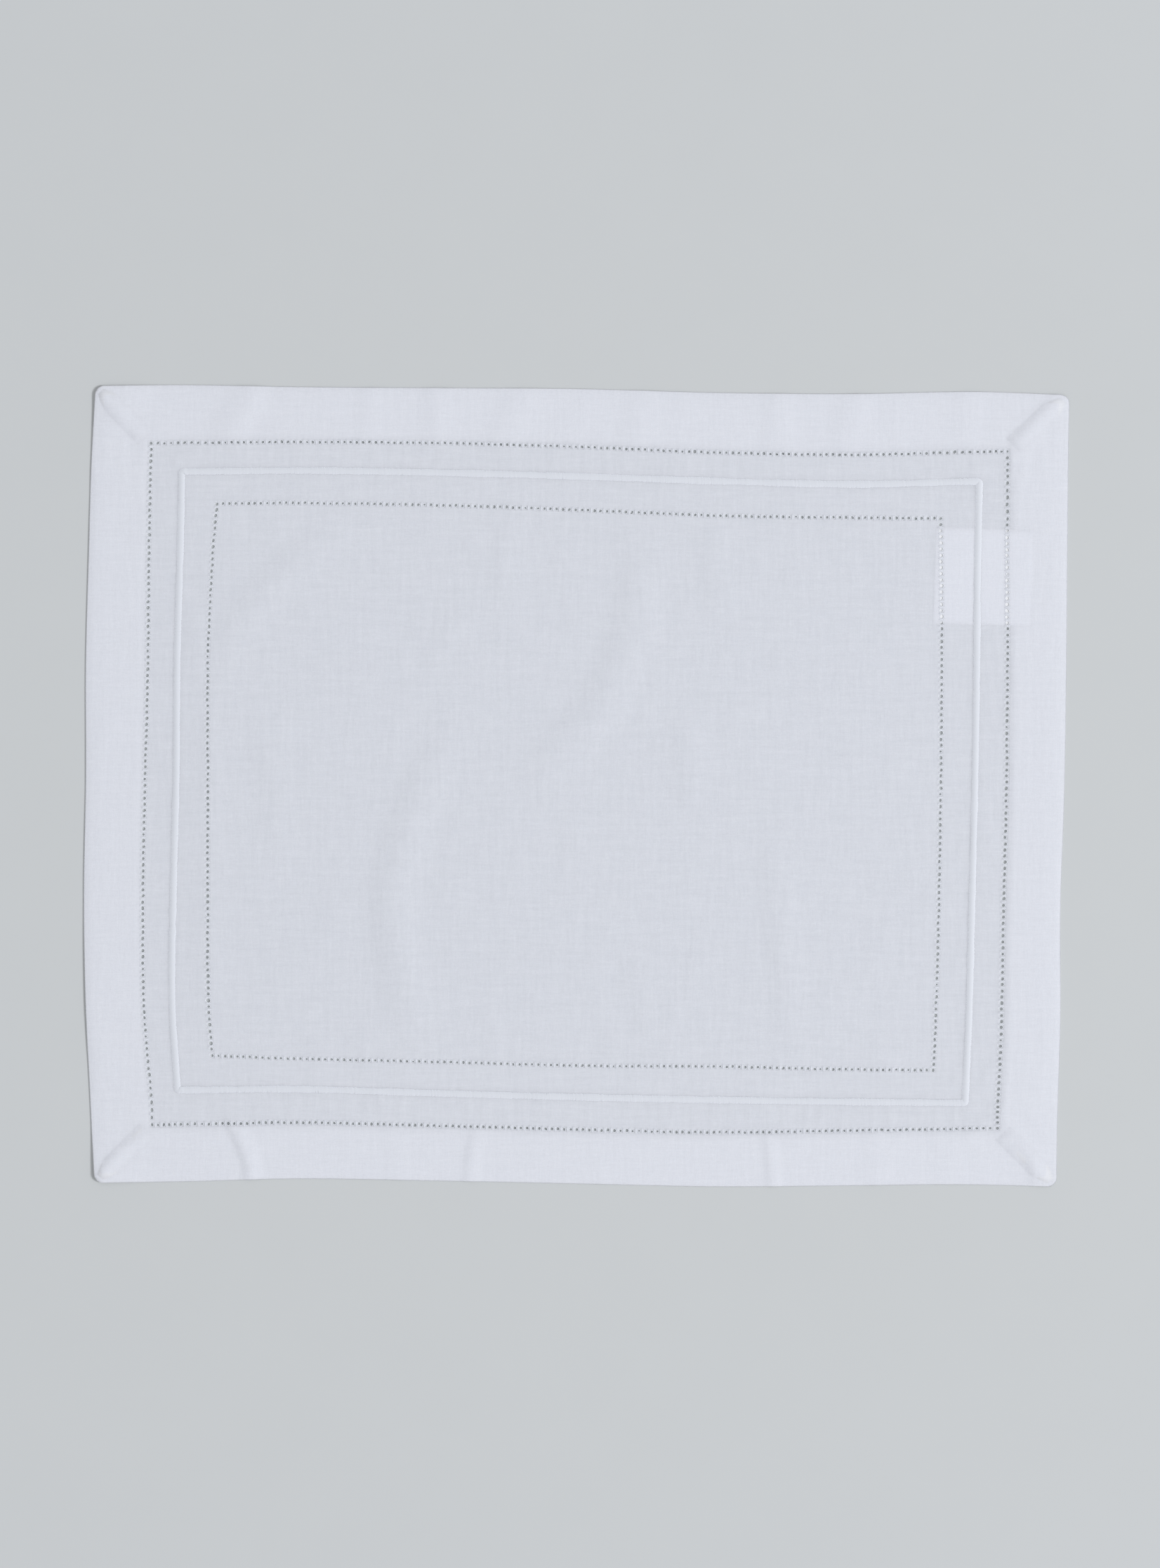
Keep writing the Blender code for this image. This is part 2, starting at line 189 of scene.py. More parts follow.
CREASES = (
    # fine creases beside the mitres and the cord's corners
    Fold(1.8, 4, 0.15, ((223.5, 146), (226.5, 160), (229.5, 173))),
    Fold(1.6, 3, 0.14, ((-241, 163), (-234, 172), (-226, 179))),
    Fold(1.6, 3, 0.10, ((148, 166), (149.5, 184))),
    Fold(2.2, 2.2, 0.25, ((-206, 166.5), (-198, 160))),
    Fold(2.0, 2.5, 0.16, ((-206, -159), (-199, -154))),
    Fold(1.5, 4, 0.10, ((241, 16), (243, 52))),
)


def smooth_curve(at: Array, stations: Sequence[float], values: Sequence[float]) -> Array:
    """Read a smooth curve through the stations' values.

    Args:
        at: Where to read it.
        stations: The stations' places, in rising order.
        values: The value at each station.

    Returns:
        The curve's value at each place.
    """
    places = np.asarray(stations, float)
    heights = np.asarray(values, float)
    slopes = np.gradient(heights, places)
    at = np.clip(at, places[0], places[-1])
    k = np.clip(np.searchsorted(places, at, side="right") - 1, 0, len(places) - 2)
    gap = places[k + 1] - places[k]
    t = (at - places[k]) / gap
    rise = heights[k] * (1 + 2 * t) * (1 - t) ** 2 + heights[k + 1] * t**2 * (3 - 2 * t)
    lean = slopes[k] * t * (1 - t) ** 2 - slopes[k + 1] * t**2 * (1 - t)
    return rise + lean * gap


def hump(distance: Array) -> Array:
    """Return a soft bump of height 1 that levels out at a distance of 1."""
    return (1 - np.minimum(1.0, np.abs(distance)) ** 2) ** 2


def crest_points(fold: Fold) -> Array:
    """Read points along a fold's crest from a smooth curve through its path.

    Args:
        fold: The fold.

    Returns:
        The points, one row each.
    """
    count = len(fold.path)
    at = np.linspace(0, count - 1, CREST_STEPS * (count - 1) + 1)
    return np.stack([smooth_curve(at, range(count), places) * MM for places in zip(*fold.path)], axis=-1)


def fold_height(fold: Fold, crest: Array, x: Array, y: Array) -> Array:
    """Work out how high one fold lifts the cloth: full along its middle, level at its ends.

    Args:
        fold: The fold.
        crest: Points along its crest.
        x: Places along X.
        y: Places along Y.

    Returns:
        The fold's height at each place.
    """
    runs = np.diff(crest, axis=0)
    away = np.stack((x, y), axis=-1)[:, None] - crest[:-1]
    share = np.clip((away * runs).sum(axis=-1) / (runs**2).sum(axis=-1), 0, 1)
    off = away - share[..., None] * runs
    distance = np.hypot(off[..., 0], off[..., 1])
    nearest = distance.argmin(axis=1)
    pick = (np.arange(len(nearest)), nearest)
    on_left = runs[nearest, 0] * off[pick][:, 1] > runs[nearest, 1] * off[pick][:, 0]
    width = np.where(on_left, fold.left, fold.right) * MM
    along = 2 * (nearest + share[pick]) / len(runs) - 1
    return fold.height * MM * hump(along**2) * hump(distance[pick] / width)


@dataclass(frozen=True)
class MatSizes:
    """The mat as it was cut and ironed, in metres."""

    width: float = 496 * MM
    depth: float = 404 * MM
    hem: float = 30 * MM
    cord_inset: float = 45 * MM
    inner_row_inset: float = 62 * MM
    corner_radius: float = 4.5 * MM

    def inset(self, u: Array, v: Array) -> Array:
        """Return how far in from the outline flat points lie."""
        return np.minimum(self.width / 2 - np.abs(u), self.depth / 2 - np.abs(v))


@dataclass
class LyingMat:
    """How the flat mat lies on the table: where its points go and how the folds lift them.

    The lengths of puckers and ripples are in mm, and a pair of shares holds the least and most of
    a drawn one. A pucker leans by a share of its own length, and a ripple by an angle in radians.
    """

    sizes: MatSizes = field(default_factory=MatSizes)
    outline_steps: int = 200
    pucker_gap: float = 8.0
    pucker_gap_share: tuple[float, float] = (0.6, 1.5)
    pucker_end_share: float = 0.98
    pucker_inset: float = 1.0
    pucker_height: float = 0.09
    pucker_height_share: tuple[float, float] = (0.2, 1.8)
    pucker_upright_share: float = 0.5
    pucker_flank: tuple[float, float] = (2.2, 4.5)
    pucker_far_lean: float = 0.35
    pucker_far_lean_stop: float = -40.0
    pucker_lean_spread: float = 0.15
    pucker_seed: int = 23
    ripples: int = 150
    ripple_height: float = 0.1
    ripple_height_share: tuple[float, float] = (0.3, 1.7)
    ripple_reach: tuple[float, float] = (12.0, 32.0)
    ripple_flank: tuple[float, float] = (5.0, 13.0)
    ripple_lean_spread: float = 0.45
    ripple_bow_spread: float = 0.15
    ripple_seed: int = 5
    middle: tuple[float, float] = (0.0, 0.0)
    crests: list[tuple[Fold, Array]] = field(default_factory=list)

    def __post_init__(self) -> None:
        """Find the middle of the lying outline's box, which is the frame's origin."""
        half_u, half_v = self.sizes.width / 2, self.sizes.depth / 2
        us = np.linspace(-half_u, half_u, self.outline_steps + 1)
        vs = np.linspace(-half_v, half_v, self.outline_steps + 1)
        xs = np.concatenate([self.lay(np.full_like(vs, end * half_u), vs)[0] for end in (-1, 1)])
        ys = np.concatenate([self.lay(us, np.full_like(us, end * half_v))[1] for end in (-1, 1)])
        self.middle = ((xs.min() + xs.max()) / 2, (ys.min() + ys.max()) / 2)
        folds = (*FOLDS, *CREASES, *self.draw_puckers(), *self.draw_ripples())
        self.crests = [(fold, crest_points(fold)) for fold in folds]

    def draw_puckers(self) -> list[Fold]:
        """Draw the short puckers that run across the band between the outer row and the cord.

        Returns:
            The puckers, uneven in place, lean and height.
        """
        draw = np.random.default_rng(self.pucker_seed)
        found = []
        for side in Side:
            stations = [station.along for station in side.value]
            lines = [[getattr(station, line) for station in side.value] for line in ("outer_row", "cord")]
            upright = side in (Side.LEFT, Side.RIGHT)
            at = stations[0] * self.pucker_end_share
            while at < stations[-1] * self.pucker_end_share:
                low, high = sorted(float(smooth_curve(np.array(at), stations, line)) for line in lines)
                leaning = side is Side.FAR and at < self.pucker_far_lean_stop
                lean = draw.normal(self.pucker_far_lean if leaning else 0.0, self.pucker_lean_spread)
                run = lean * (high - low)
                path = ((at - run / 2, low + self.pucker_inset), (at + run / 2, high))
                if upright:
                    path = tuple((y, x) for x, y in path)
                left, right = draw.uniform(*self.pucker_flank, 2)
                height = self.pucker_height * draw.uniform(*self.pucker_height_share)
                height *= self.pucker_upright_share if upright else 1.0
                found.append(Fold(left, right, height, path))
                at += self.pucker_gap * draw.uniform(*self.pucker_gap_share)
        return found

    def draw_ripples(self) -> list[Fold]:
        """Draw faint short ripples all over the cloth, most of which run towards the far side.

        Returns:
            The ripples, uneven in place, lean, width and height.
        """
        draw = np.random.default_rng(self.ripple_seed)
        half = np.array((self.sizes.width, self.sizes.depth)) / (2 * MM)
        found = []
        for _ in range(self.ripples):
            middle = draw.uniform(-1, 1, 2) * half
            lean = draw.normal(0, self.ripple_lean_spread)
            way = draw.uniform(*self.ripple_reach) * np.array((math.sin(lean), math.cos(lean)))
            bow = draw.normal(0, self.ripple_bow_spread) * way[::-1]
            path = tuple(tuple(point) for point in (middle - way, middle + bow, middle + way))
            left, right = draw.uniform(*self.ripple_flank, 2)
            height = self.ripple_height * draw.uniform(*self.ripple_height_share)
            found.append(Fold(left, right, height, path))
        return found

    def side_lines(self, side: Side, at: Array) -> list[Array]:
        """Find where a side's four lines lie.

        Args:
            side: The side.
            at: Places along it.

        Returns:
            For each line its distances from the middle, from the edge to the inner row.
        """
        along = [station.along * MM for station in side.value]
        lines = ("edge", "outer_row", "cord", "inner_row")
        return [smooth_curve(at, along, [getattr(s, line) * MM for s in side.value]) for line in lines]

    def between_lines(self, flat: Array, half: float, low: Side, high: Side, at: Array) -> Array:
        """Map flat distances from the middle to the lying mat, line by line across it.

        Args:
            flat: Flat distances from the middle.
            half: Half the flat size in that direction.
            low: The side at the low end.
            high: The side at the high end.
            at: Places along those sides.

        Returns:
            Where the points lie.
        """
        insets = (0.0, self.sizes.hem, self.sizes.cord_inset, self.sizes.inner_row_inset)
        knots = [inset - half for inset in insets] + [half - inset for inset in reversed(insets)]
        places = self.side_lines(low, at) + self.side_lines(high, at)[::-1]
        found = places[0]
        for start, stop, here, there in zip(knots, knots[1:], places, places[1:]):
            found = found + np.clip((flat - start) / (stop - start), 0, 1) * (there - here)
        return found

    def round_corner(self, u: Array, v: Array) -> tuple[Array, Array]:
        """Draw the square corners of the flat mat in to its rounded outline.

        Args:
            u: Flat places along X.
            v: Flat places along Y.

        Returns:
            The places along X and Y after that.
        """
        radius = self.sizes.corner_radius
        half_u, half_v = self.sizes.width / 2, self.sizes.depth / 2
        s = np.maximum(0.0, 1 - (half_u - np.abs(u)) / radius)
        t = np.maximum(0.0, 1 - (half_v - np.abs(v)) / radius)
        at_corner = (s > 0) & (t > 0)
        across = half_u - radius * (1 - s * np.sqrt(1 - t * t / 2))
        along = half_v - radius * (1 - t * np.sqrt(1 - s * s / 2))
        return np.where(at_corner, np.copysign(across, u), u), np.where(at_corner, np.copysign(along, v), v)

    def lay(self, u: Array, v: Array) -> tuple[Array, Array]:
        """Lay points of the flat mat on the table, before the origin is moved.

        Args:
            u: Flat places along X.
            v: Flat places along Y.

        Returns:
            Where they lie along X and Y.
        """
        u, v = self.round_corner(u, v)
        x = self.between_lines(u, self.sizes.width / 2, Side.LEFT, Side.RIGHT, v)
        y = self.between_lines(v, self.sizes.depth / 2, Side.NEAR, Side.FAR, u)
        return x, y

    def lift(self, x: Array, y: Array) -> Array:
        """Return how high the folds lift the cloth at places on the table.

        Args:
            x: Places along X, before the origin is moved.
            y: Places along Y.

        Returns:
            The height of the cloth's lowest layer over the table.
        """
        height = np.zeros_like(x)
        for fold, crest in self.crests:
            width = max(fold.left, fold.right) * MM
            low, high = crest.min(axis=0) - width, crest.max(axis=0) + width
            near = (x > low[0]) & (x < high[0]) & (y > low[1]) & (y < high[1])
            if near.any():
                height[near] += fold_height(fold, crest, x[near], y[near])
        for curl in CURLS:
            distance = np.hypot(x - curl.x * MM, y - curl.y * MM) / (curl.reach * MM)
            height += curl.height * MM * hump(distance)
        return height

    def place(self, u: Array, v: Array, level: Array) -> Array:
        """Lay flat points at heights over the cloth's lowest layer.

        Args:
            u: Flat places along X.
            v: Flat places along Y.
            level: Heights over the underside of the cloth there.

        Returns:
            The points in the frame, one row each.
        """
        x, y = self.lay(u, v)
        z = self.lift(x, y) + level
        return np.stack([x - self.middle[0], y - self.middle[1], z], axis=-1)


class Row(Enum):
    """The two drawn-thread rows, by name."""

    OUTER = "outer"
    INNER = "inner"


@dataclass(frozen=True)
class Hole:
    """One hole of a drawn-thread row, in flat coordinates and metres."""

    u: float
    v: float
    reach_u: float
    reach_v: float
    tilt: float

    def edge(self, angles: Array) -> tuple[Array, Array]:
        """Find flat points of the hole's edge.

        Args:
            angles: Angles round the hole's middle.

        Returns:
            The points' places along X and Y.
        """
        along = self.reach_u * np.cos(angles - self.tilt)
        across = self.reach_v * np.sin(angles - self.tilt)
        u = self.u + along * math.cos(self.tilt) - across * math.sin(self.tilt)
        v = self.v + along * math.sin(self.tilt) + across * math.cos(self.tilt)
        return u, v


def mesh_object(name: str, points: Array, faces: Sequence[Sequence[int]]) -> bpy.types.Object:
    """Make a smooth-shaded object of points and faces.

    Args:
        name: The piece's name.
        points: Its points, one row each.
        faces: The points' numbers round each face.

    Returns:
        The object, linked to the scene.
    """
    mesh = bpy.data.meshes.new(name)
    mesh.from_pydata(points.tolist(), [], faces)
    mesh.update()
    mesh.shade_smooth()
    obj = bpy.data.objects.new(name, mesh)
    bpy.context.scene.collection.objects.link(obj)
    return obj


def unit(vectors: Array) -> Array:
    """Return vectors scaled to a length of 1."""
    return vectors / np.linalg.norm(vectors, axis=-1, keepdims=True)


def sweep(paths: Array, radii: Array, sides: int, closed: bool) -> tuple[Array, list[tuple[int, ...]]]:
    """Carry a round section along many threads of equally many points.

    Args:
        paths: The threads' points, as threads by points by 3.
        radii: The thread's radius at each point.
        sides: How many sides the section has.
        closed: Whether each thread is a ring.

    Returns:
        The points of all the threads, and their faces.
    """
    if closed:
        ahead = unit(np.roll(paths, -1, axis=1) - np.roll(paths, 1, axis=1))
    else:
        ahead = unit(np.gradient(paths, axis=1))
    side = unit(np.cross(ahead, UP))
    up = np.cross(side, ahead)
    angles = 2 * math.pi * (np.arange(sides) + 0.5) / sides
    ring = side[:, :, None] * np.cos(angles)[:, None] + up[:, :, None] * np.sin(angles)[:, None]
    points = paths[:, :, None] + radii[:, :, None, None] * ring
    index = np.arange(points[..., 0].size).reshape(points.shape[:3])
    here, there = (index, np.roll(index, -1, axis=1)) if closed else (index[:, :-1], index[:, 1:])
    quads = (here, there, np.roll(there, -1, axis=2), np.roll(here, -1, axis=2))
    faces = list(map(tuple, np.stack(quads, axis=-1).reshape(-1, 4).tolist()))
    if not closed:
        faces += list(map(tuple, index[:, 0].tolist()))
        faces += list(map(tuple, index[:, -1, ::-1].tolist()))
    return points.reshape(-1, 3), faces


def join_parts(parts: Sequence[tuple[Array, list[tuple[int, ...]]]]) -> tuple[Array, list[tuple[int, ...]]]:
    """Put several sets of points and faces into one.

    Args:
        parts: Each set's points and faces.

    Returns:
        The points and faces of all the sets.
    """
    points, faces, start = [], [], 0
    for part_points, part_faces in parts:
        points.append(part_points)
        faces += [tuple(i + start for i in face) for face in part_faces]
        start += len(part_points)
    return np.concatenate(points), faces


class Wiring:
    """Adds nodes to a tree and joins them."""

    def __init__(self, tree: bpy.types.NodeTree) -> None:
        """Keep the tree."""
        self.tree = tree

    def node(self, kind: str, **settings: object) -> bpy.types.Node:
        """Add a node and set its properties.

        Args:
            kind: The node's type.
            settings: Its properties and their values.

        Returns:
            The node.
        """
        made = self.tree.nodes.new(kind)
        for name, value in settings.items():
            setattr(made, name, value)
        return made

    def feed(self, socket: Socket, value: Value | Sequence[float]) -> None:
        """Join a socket to another one, or set it to a constant.

        Args:
            socket: The socket that is fed.
            value: The other socket, or the constant.
        """
        if isinstance(value, Socket):
            self.tree.links.new(value, socket)
        else:
            socket.default_value = value

    def math(self, operation: str, *values: Value, clamp: bool = False) -> Socket:
        """Work out one number from others.

        Args:
            operation: What is done with them.
            values: The numbers, or sockets that give them.
            clamp: Whether the result is kept from 0 to 1.

        Returns:
            The result.
        """
        made = self.node("ShaderNodeMath", operation=operation, use_clamp=clamp)
        for socket, value in zip(made.inputs, values):
            self.feed(socket, value)
        return made.outputs[0]

    def split(self, vector: Socket) -> Sequence[Socket]:
        """Take a place apart into its three numbers.

        Args:
            vector: The place.

        Returns:
            Its numbers along X, Y and Z.
        """
        parts = self.node("ShaderNodeSeparateXYZ")
        self.feed(parts.inputs[0], vector)
        return parts.outputs

    def stretch(self, vector: Socket, scale: Sequence[Value], shift: Sequence[float] = (0, 0, 0)) -> Socket:
        """Scale a place along each axis and then shift it.

        Args:
            vector: The place.
            scale: What its numbers are multiplied by.
            shift: What is then added to them.

        Returns:
            The new place.
        """
        whole = self.node("ShaderNodeCombineXYZ")
        for source, target, size, move in zip(self.split(vector), whole.inputs, scale, shift):
            self.feed(target, self.math("MULTIPLY_ADD", source, size, move))
        return whole.outputs[0]

    def wave(self, along: Value, length: Value) -> Socket:
        """Read a wave from -1 to 1 that changes sign once in each length."""
        return self.math("SINE", self.math("DIVIDE", self.math("MULTIPLY", along, math.pi), length))

    def centred(self, mask: Value, strength: Value) -> Socket:
        """Centre a mask from 0 to 1 on 0 and scale it."""
        return self.math("MULTIPLY", self.math("SUBTRACT", mask, 0.5), strength)

    def noise(self, vector: Socket, scale: Value, detail: float = 2.0, rough: float = 0.5) -> Socket:
        """Read soft noise from 0 to 1 at a place.

        Args:
            vector: The place.
            scale: How fine the noise is.
            detail: How many finer layers it has.
            rough: How strong each finer layer is.

        Returns:
            The noise.
        """
        made = self.node("ShaderNodeTexNoise")
        self.feed(made.inputs["Vector"], vector)
        self.feed(made.inputs["Scale"], scale)
        made.inputs["Detail"].default_value = detail
        made.inputs["Roughness"].default_value = rough
        return made.outputs[0]

    def blend(self, mask: Value, low: Sequence[float], high: Sequence[float]) -> Socket:
        """Mix two colours by a mask.

        Args:
            mask: The share of the second colour.
            low: The first colour.
            high: The second colour.

        Returns:
            The mixed colour.
        """
        made = self.node("ShaderNodeMix", data_type="RGBA")
        self.feed(made.inputs[0], mask)
        made.inputs[6].default_value = (*low, 1.0)
        made.inputs[7].default_value = (*high, 1.0)
        return made.outputs[2]

    def between(self, mask: Socket, low: float, high: float) -> Socket:
        """Turn a mask into a number.

        Args:
            mask: The mask, from 0 to 1.
            low: The number where the mask is 0.
            high: The number where it is 1.

        Returns:
            The number.
        """
        made = self.node("ShaderNodeMapRange")
        self.feed(made.inputs["Value"], mask)
        made.inputs["To Min"].default_value = low
        made.inputs["To Max"].default_value = high
        return made.outputs[0]


def open_group(name: str, numbers: Sequence[str], outputs: Sequence[str]) -> tuple:
    """Start a shader node group that takes a position and named numbers.

    Args:
        name: The group's name.
        numbers: The names of its number inputs.
        outputs: The names of its number outputs.

    Returns:
        The group's tree, its wiring, its inputs by name and its outputs by name.
    """
    tree = bpy.data.node_groups.new(name, "ShaderNodeTree")
    tree.interface.new_socket("Position", in_out="INPUT", socket_type="NodeSocketVector")
    for way, labels in (("INPUT", numbers), ("OUTPUT", outputs)):
        for label in labels:
            tree.interface.new_socket(label, in_out=way, socket_type="NodeSocketFloat")
    wiring = Wiring(tree)
    given = wiring.node("NodeGroupInput")
    return tree, wiring, given.outputs, wiring.node("NodeGroupOutput").inputs


class Effect(Enum):
    """The effects that more than one material uses, by the names of their node groups."""

    WEAVE = "weave"
    SPUN_THREAD = "spun_thread"


class NodeGroups:
    """The shared effects' node groups, each built once: lengths in mm, and scales for each mm."""

    wander = 1.5
    wander_scale = 0.05
    level_yarn_shift = (31.0, 17.0, 5.0)
    streak_detail = 4.0
    streak_roughness = 0.8
    cloud_scale = 0.14
    cloud_detail = 6.0
    cloud_roughness = 0.72
    streak_share = 0.8
    cloud_share = 0.2
    crossing_tone = 0.04
    crossing_cover = 0.1
    middle_cover = 0.46
    crossing_relief = 0.2
    streak_relief = 0.5
    patch_scale = 0.6
    patch_detail = 3.0
    patch_roughness = 0.6
    lowest_tone = 0.4
    # how much lighter the tone is on each ply's crown than in the groove beside it: painted shading of the
    # twist
    ply_painted_shade = 0.2
    ply_relief = 0.6

    def of(self, effect: Effect) -> bpy.types.NodeTree:
        """Return an effect's node group."""
        return getattr(self, effect.value)

    @cached_property
    def weave(self) -> bpy.types.NodeTree:
        """Build the plain weave of slubby yarns: tone, cover and height, over a place in mm.

        Returns:
            The node group.
        """
        numbers = ("Pitch", "Slub Length", "Slub Width", "Contrast")
        tree, w, given, out = open_group("weave", numbers, ("Tone", "Cover", "Height"))
        place = given["Position"]
        drift = w.centred(w.noise(place, self.wander_scale, detail=1.0), self.wander)
        waves = [w.wave(w.math("ADD", part, drift), given["Pitch"]) for part in w.split(place)[:2]]
        crossing = w.math("MULTIPLY", *waves)
        narrow = w.math("DIVIDE", 1.0, given["Slub Width"])
        long = w.math("DIVIDE", 1.0, given["Slub Length"])
        upright = w.stretch(place, (narrow, long, 1.0))
        level = w.stretch(place, (long, narrow, 1.0), self.level_yarn_shift)
        yarns = [w.noise(way, 1.0, self.streak_detail, self.streak_roughness) for way in (upright, level)]
        streaks = w.math("MULTIPLY", w.math("ADD", *yarns), 0.5)
        cloud = w.noise(place, self.cloud_scale, self.cloud_detail, self.cloud_roughness)
        clouds = w.math("MULTIPLY", cloud, self.cloud_share)
        mixed = w.math("ADD", w.math("MULTIPLY", streaks, self.streak_share), clouds)
        w.feed(out["Tone"], w.math("MULTIPLY_ADD", crossing, self.crossing_tone, mixed, clamp=True))
        gaps = w.math("MULTIPLY_ADD", w.math("ABSOLUTE", crossing), self.crossing_cover, self.middle_cover)
        w.feed(out["Cover"], w.math("ADD", w.centred(mixed, given["Contrast"]), gaps, clamp=True))
        ribs = w.math("MULTIPLY", crossing, self.crossing_relief)
        w.feed(out["Height"], w.math("ADD", ribs, w.math("MULTIPLY", streaks, self.streak_relief)))
        return tree

    @cached_property
    def spun_thread(self) -> bpy.types.NodeTree:
        """Build the twist and fuzz of a fine thread: tone, with painted shading of the twist, and height,
        over a place in mm.

        Returns:
            The node group.
        """
        tree, w, given, out = open_group("spun_thread", ("Twist", "Unevenness"), ("Tone", "Height"))
        place = given["Position"]
        x, y, z = w.split(place)
        along = w.math("ADD", w.math("ADD", x, y), z)
        ply = w.math("MULTIPLY_ADD", w.wave(along, given["Twist"]), 0.5, 0.5)
        patch = w.noise(place, self.patch_scale, self.patch_detail, self.patch_roughness)
        uneven = w.centred(patch, given["Unevenness"])
        # lighter on each ply's crown and darker in the groove between plies, in step with the relief: painted
        # shading of the twist
        even = w.math("MULTIPLY_ADD", ply, self.ply_painted_shade, self.lowest_tone)
        w.feed(out["Tone"], w.math("ADD", even, uneven, clamp=True))
        w.feed(out["Height"], w.math("MULTIPLY_ADD", ply, self.ply_relief, uneven))
        return tree


def position_in_mm(wiring: Wiring) -> Socket:
    """Return the place on the piece in millimetres."""
    place = wiring.node("ShaderNodeTexCoord").outputs["Object"]
    return wiring.stretch(place, (1 / MM, 1 / MM, 1 / MM))


def blank_material(name: str) -> tuple[bpy.types.Material, Wiring, bpy.types.Node]:
    """Start a material.

    Args:
        name: The material's name.

    Returns:
        The material, its wiring and its Principled shader.
    """
    material = bpy.data.materials.new(name)
    material.use_nodes = True
    shader = material.node_tree.nodes["Principled BSDF"]
    return material, Wiring(material.node_tree), shader


@dataclass(frozen=True)
class ClothFinish:
    """A cloth or thread finish: an effect with its numbers, two tones, relief and sheen.

    It is smoother by the polish where it is light, and sheer if it has a cover.
    """

    name: str
    effect: Effect
    numbers: dict[str, float]
    dark: Colour
    light: Colour
    roughness: float
    polish: float
    relief: float
    sheen: float
    sheen_roughness: float
    specular: float
    cover: tuple[float, float] | None = None

    def material(self, groups: NodeGroups) -> bpy.types.Material:
        """Build the material.

        Args:
            groups: The shared node groups.

        Returns:
            The material.
        """
        material, w, shader = blank_material(self.name)
        look = w.node("ShaderNodeGroup", node_tree=groups.of(self.effect))
        w.feed(look.inputs["Position"], position_in_mm(w))
        for label, value in self.numbers.items():
            look.inputs[label].default_value = value
        tone = look.outputs["Tone"]
        w.feed(shader.inputs["Base Color"], w.blend(tone, self.dark, self.light))
        if self.cover:
            w.feed(shader.inputs["Alpha"], w.between(look.outputs["Cover"], *self.cover))
        w.feed(shader.inputs["Roughness"], w.between(tone, self.roughness, self.roughness - self.polish))
        bump = w.node("ShaderNodeBump")
        bump.inputs["Strength"].default_value = 1.0
        bump.inputs["Distance"].default_value = self.relief
        w.feed(bump.inputs["Height"], look.outputs["Height"])
        w.feed(shader.inputs["Normal"], bump.outputs["Normal"])
        shader.inputs["Sheen Weight"].default_value = self.sheen
        shader.inputs["Sheen Roughness"].default_value = self.sheen_roughness
        shader.inputs["Specular IOR Level"].default_value = self.specular
        return material


@dataclass(frozen=True)
class PaperFinish:
    """The pale matt floor, with a very faint mottle whose scale is for each mm."""

    name: str
    dark: Colour
    light: Colour
    roughness: float
    specular: float
    mottle_scale: float

    def material(self) -> bpy.types.Material:
        """Build the material.

        Returns:
            The material.
        """
        material, w, shader = blank_material(self.name)
        mottle = w.noise(position_in_mm(w), self.mottle_scale, detail=4.0, rough=0.7)
        w.feed(shader.inputs["Base Color"], w.blend(mottle, self.dark, self.light))
        shader.inputs["Roughness"].default_value = self.roughness
        shader.inputs["Specular IOR Level"].default_value = self.specular
        return material


LINEN = ClothFinish(
    name="sheer_linen",
    effect=Effect.WEAVE,
    numbers={"Pitch": 0.42, "Slub Length": 24.0, "Slub Width": 3.0, "Contrast": 1.45},
    dark=(0.86, 0.885, 0.95),
    light=(0.94, 0.965, 1.0),
    roughness=0.9,
    polish=0.1,
    relief=0.04 * MM,
    sheen=0.1,
    sheen_roughness=0.6,
    specular=0.25,
    cover=(0.30, 0.62),
)
TURNED_LINEN = replace(
    LINEN,
    name="turned_in_linen",
    numbers={**LINEN.numbers, "Contrast": 1.0},
    dark=(0.74, 0.75, 0.745),
    light=(0.80, 0.81, 0.81),
    cover=None,
)
TAPE = replace(
    TURNED_LINEN,
    name="label_tape",
    numbers={"Pitch": 0.22, "Slub Length": 20.0, "Slub Width": 1.5, "Contrast": 1.0},
    dark=(0.815, 0.825, 0.835),
    light=(0.855, 0.865, 0.87),
    roughness=0.6,
    relief=0.015 * MM,
    sheen=0.0,
)
# the thread tones spread over the spun thread's painted shading of the twist as well as its uneven fuzz
STITCH_THREAD = ClothFinish(
    name="hemstitch_thread",
    effect=Effect.SPUN_THREAD,
    numbers={"Twist": 0.14, "Unevenness": 0.6},
    dark=(0.79, 0.82, 0.86),
    light=(0.87, 0.9, 0.94),
    roughness=0.8,
    polish=0.12,
    relief=0.02 * MM,
    sheen=0.1,
    sheen_roughness=0.4,
    specular=0.35,
)
SATIN_THREAD = replace(
    STITCH_THREAD,
    name="satin_thread",
    numbers={"Twist": 0.12, "Unevenness": 0.4},
    dark=(0.655, 0.685, 0.725),
    light=(0.725, 0.755, 0.795),
    roughness=0.65,
    relief=0.015 * MM,
    sheen=0.05,
)
FLOOR_PAPER = PaperFinish(
    name="floor_paper",
    dark=(0.573, 0.597, 0.596),
    light=(0.588, 0.612, 0.610),
    roughness=0.95,
    specular=0.1,
    mottle_scale=0.02,
)


@dataclass
class Pattern:
    """The sheet's flat pattern as it grows: u, v and level of its points, and its faces."""

    points: list[tuple[float, float, float]] = field(default_factory=list)
    faces: list[tuple[int, ...]] = field(default_factory=list)
    turned: list[bool] = field(default_factory=list)

    def add_face(self, corners: Sequence[int], turned: bool = False) -> None:
        """Add a face; one of the turned-in cloth looks down."""
        self.faces.append(tuple(reversed(corners)) if turned else tuple(corners))
        self.turned.append(turned)


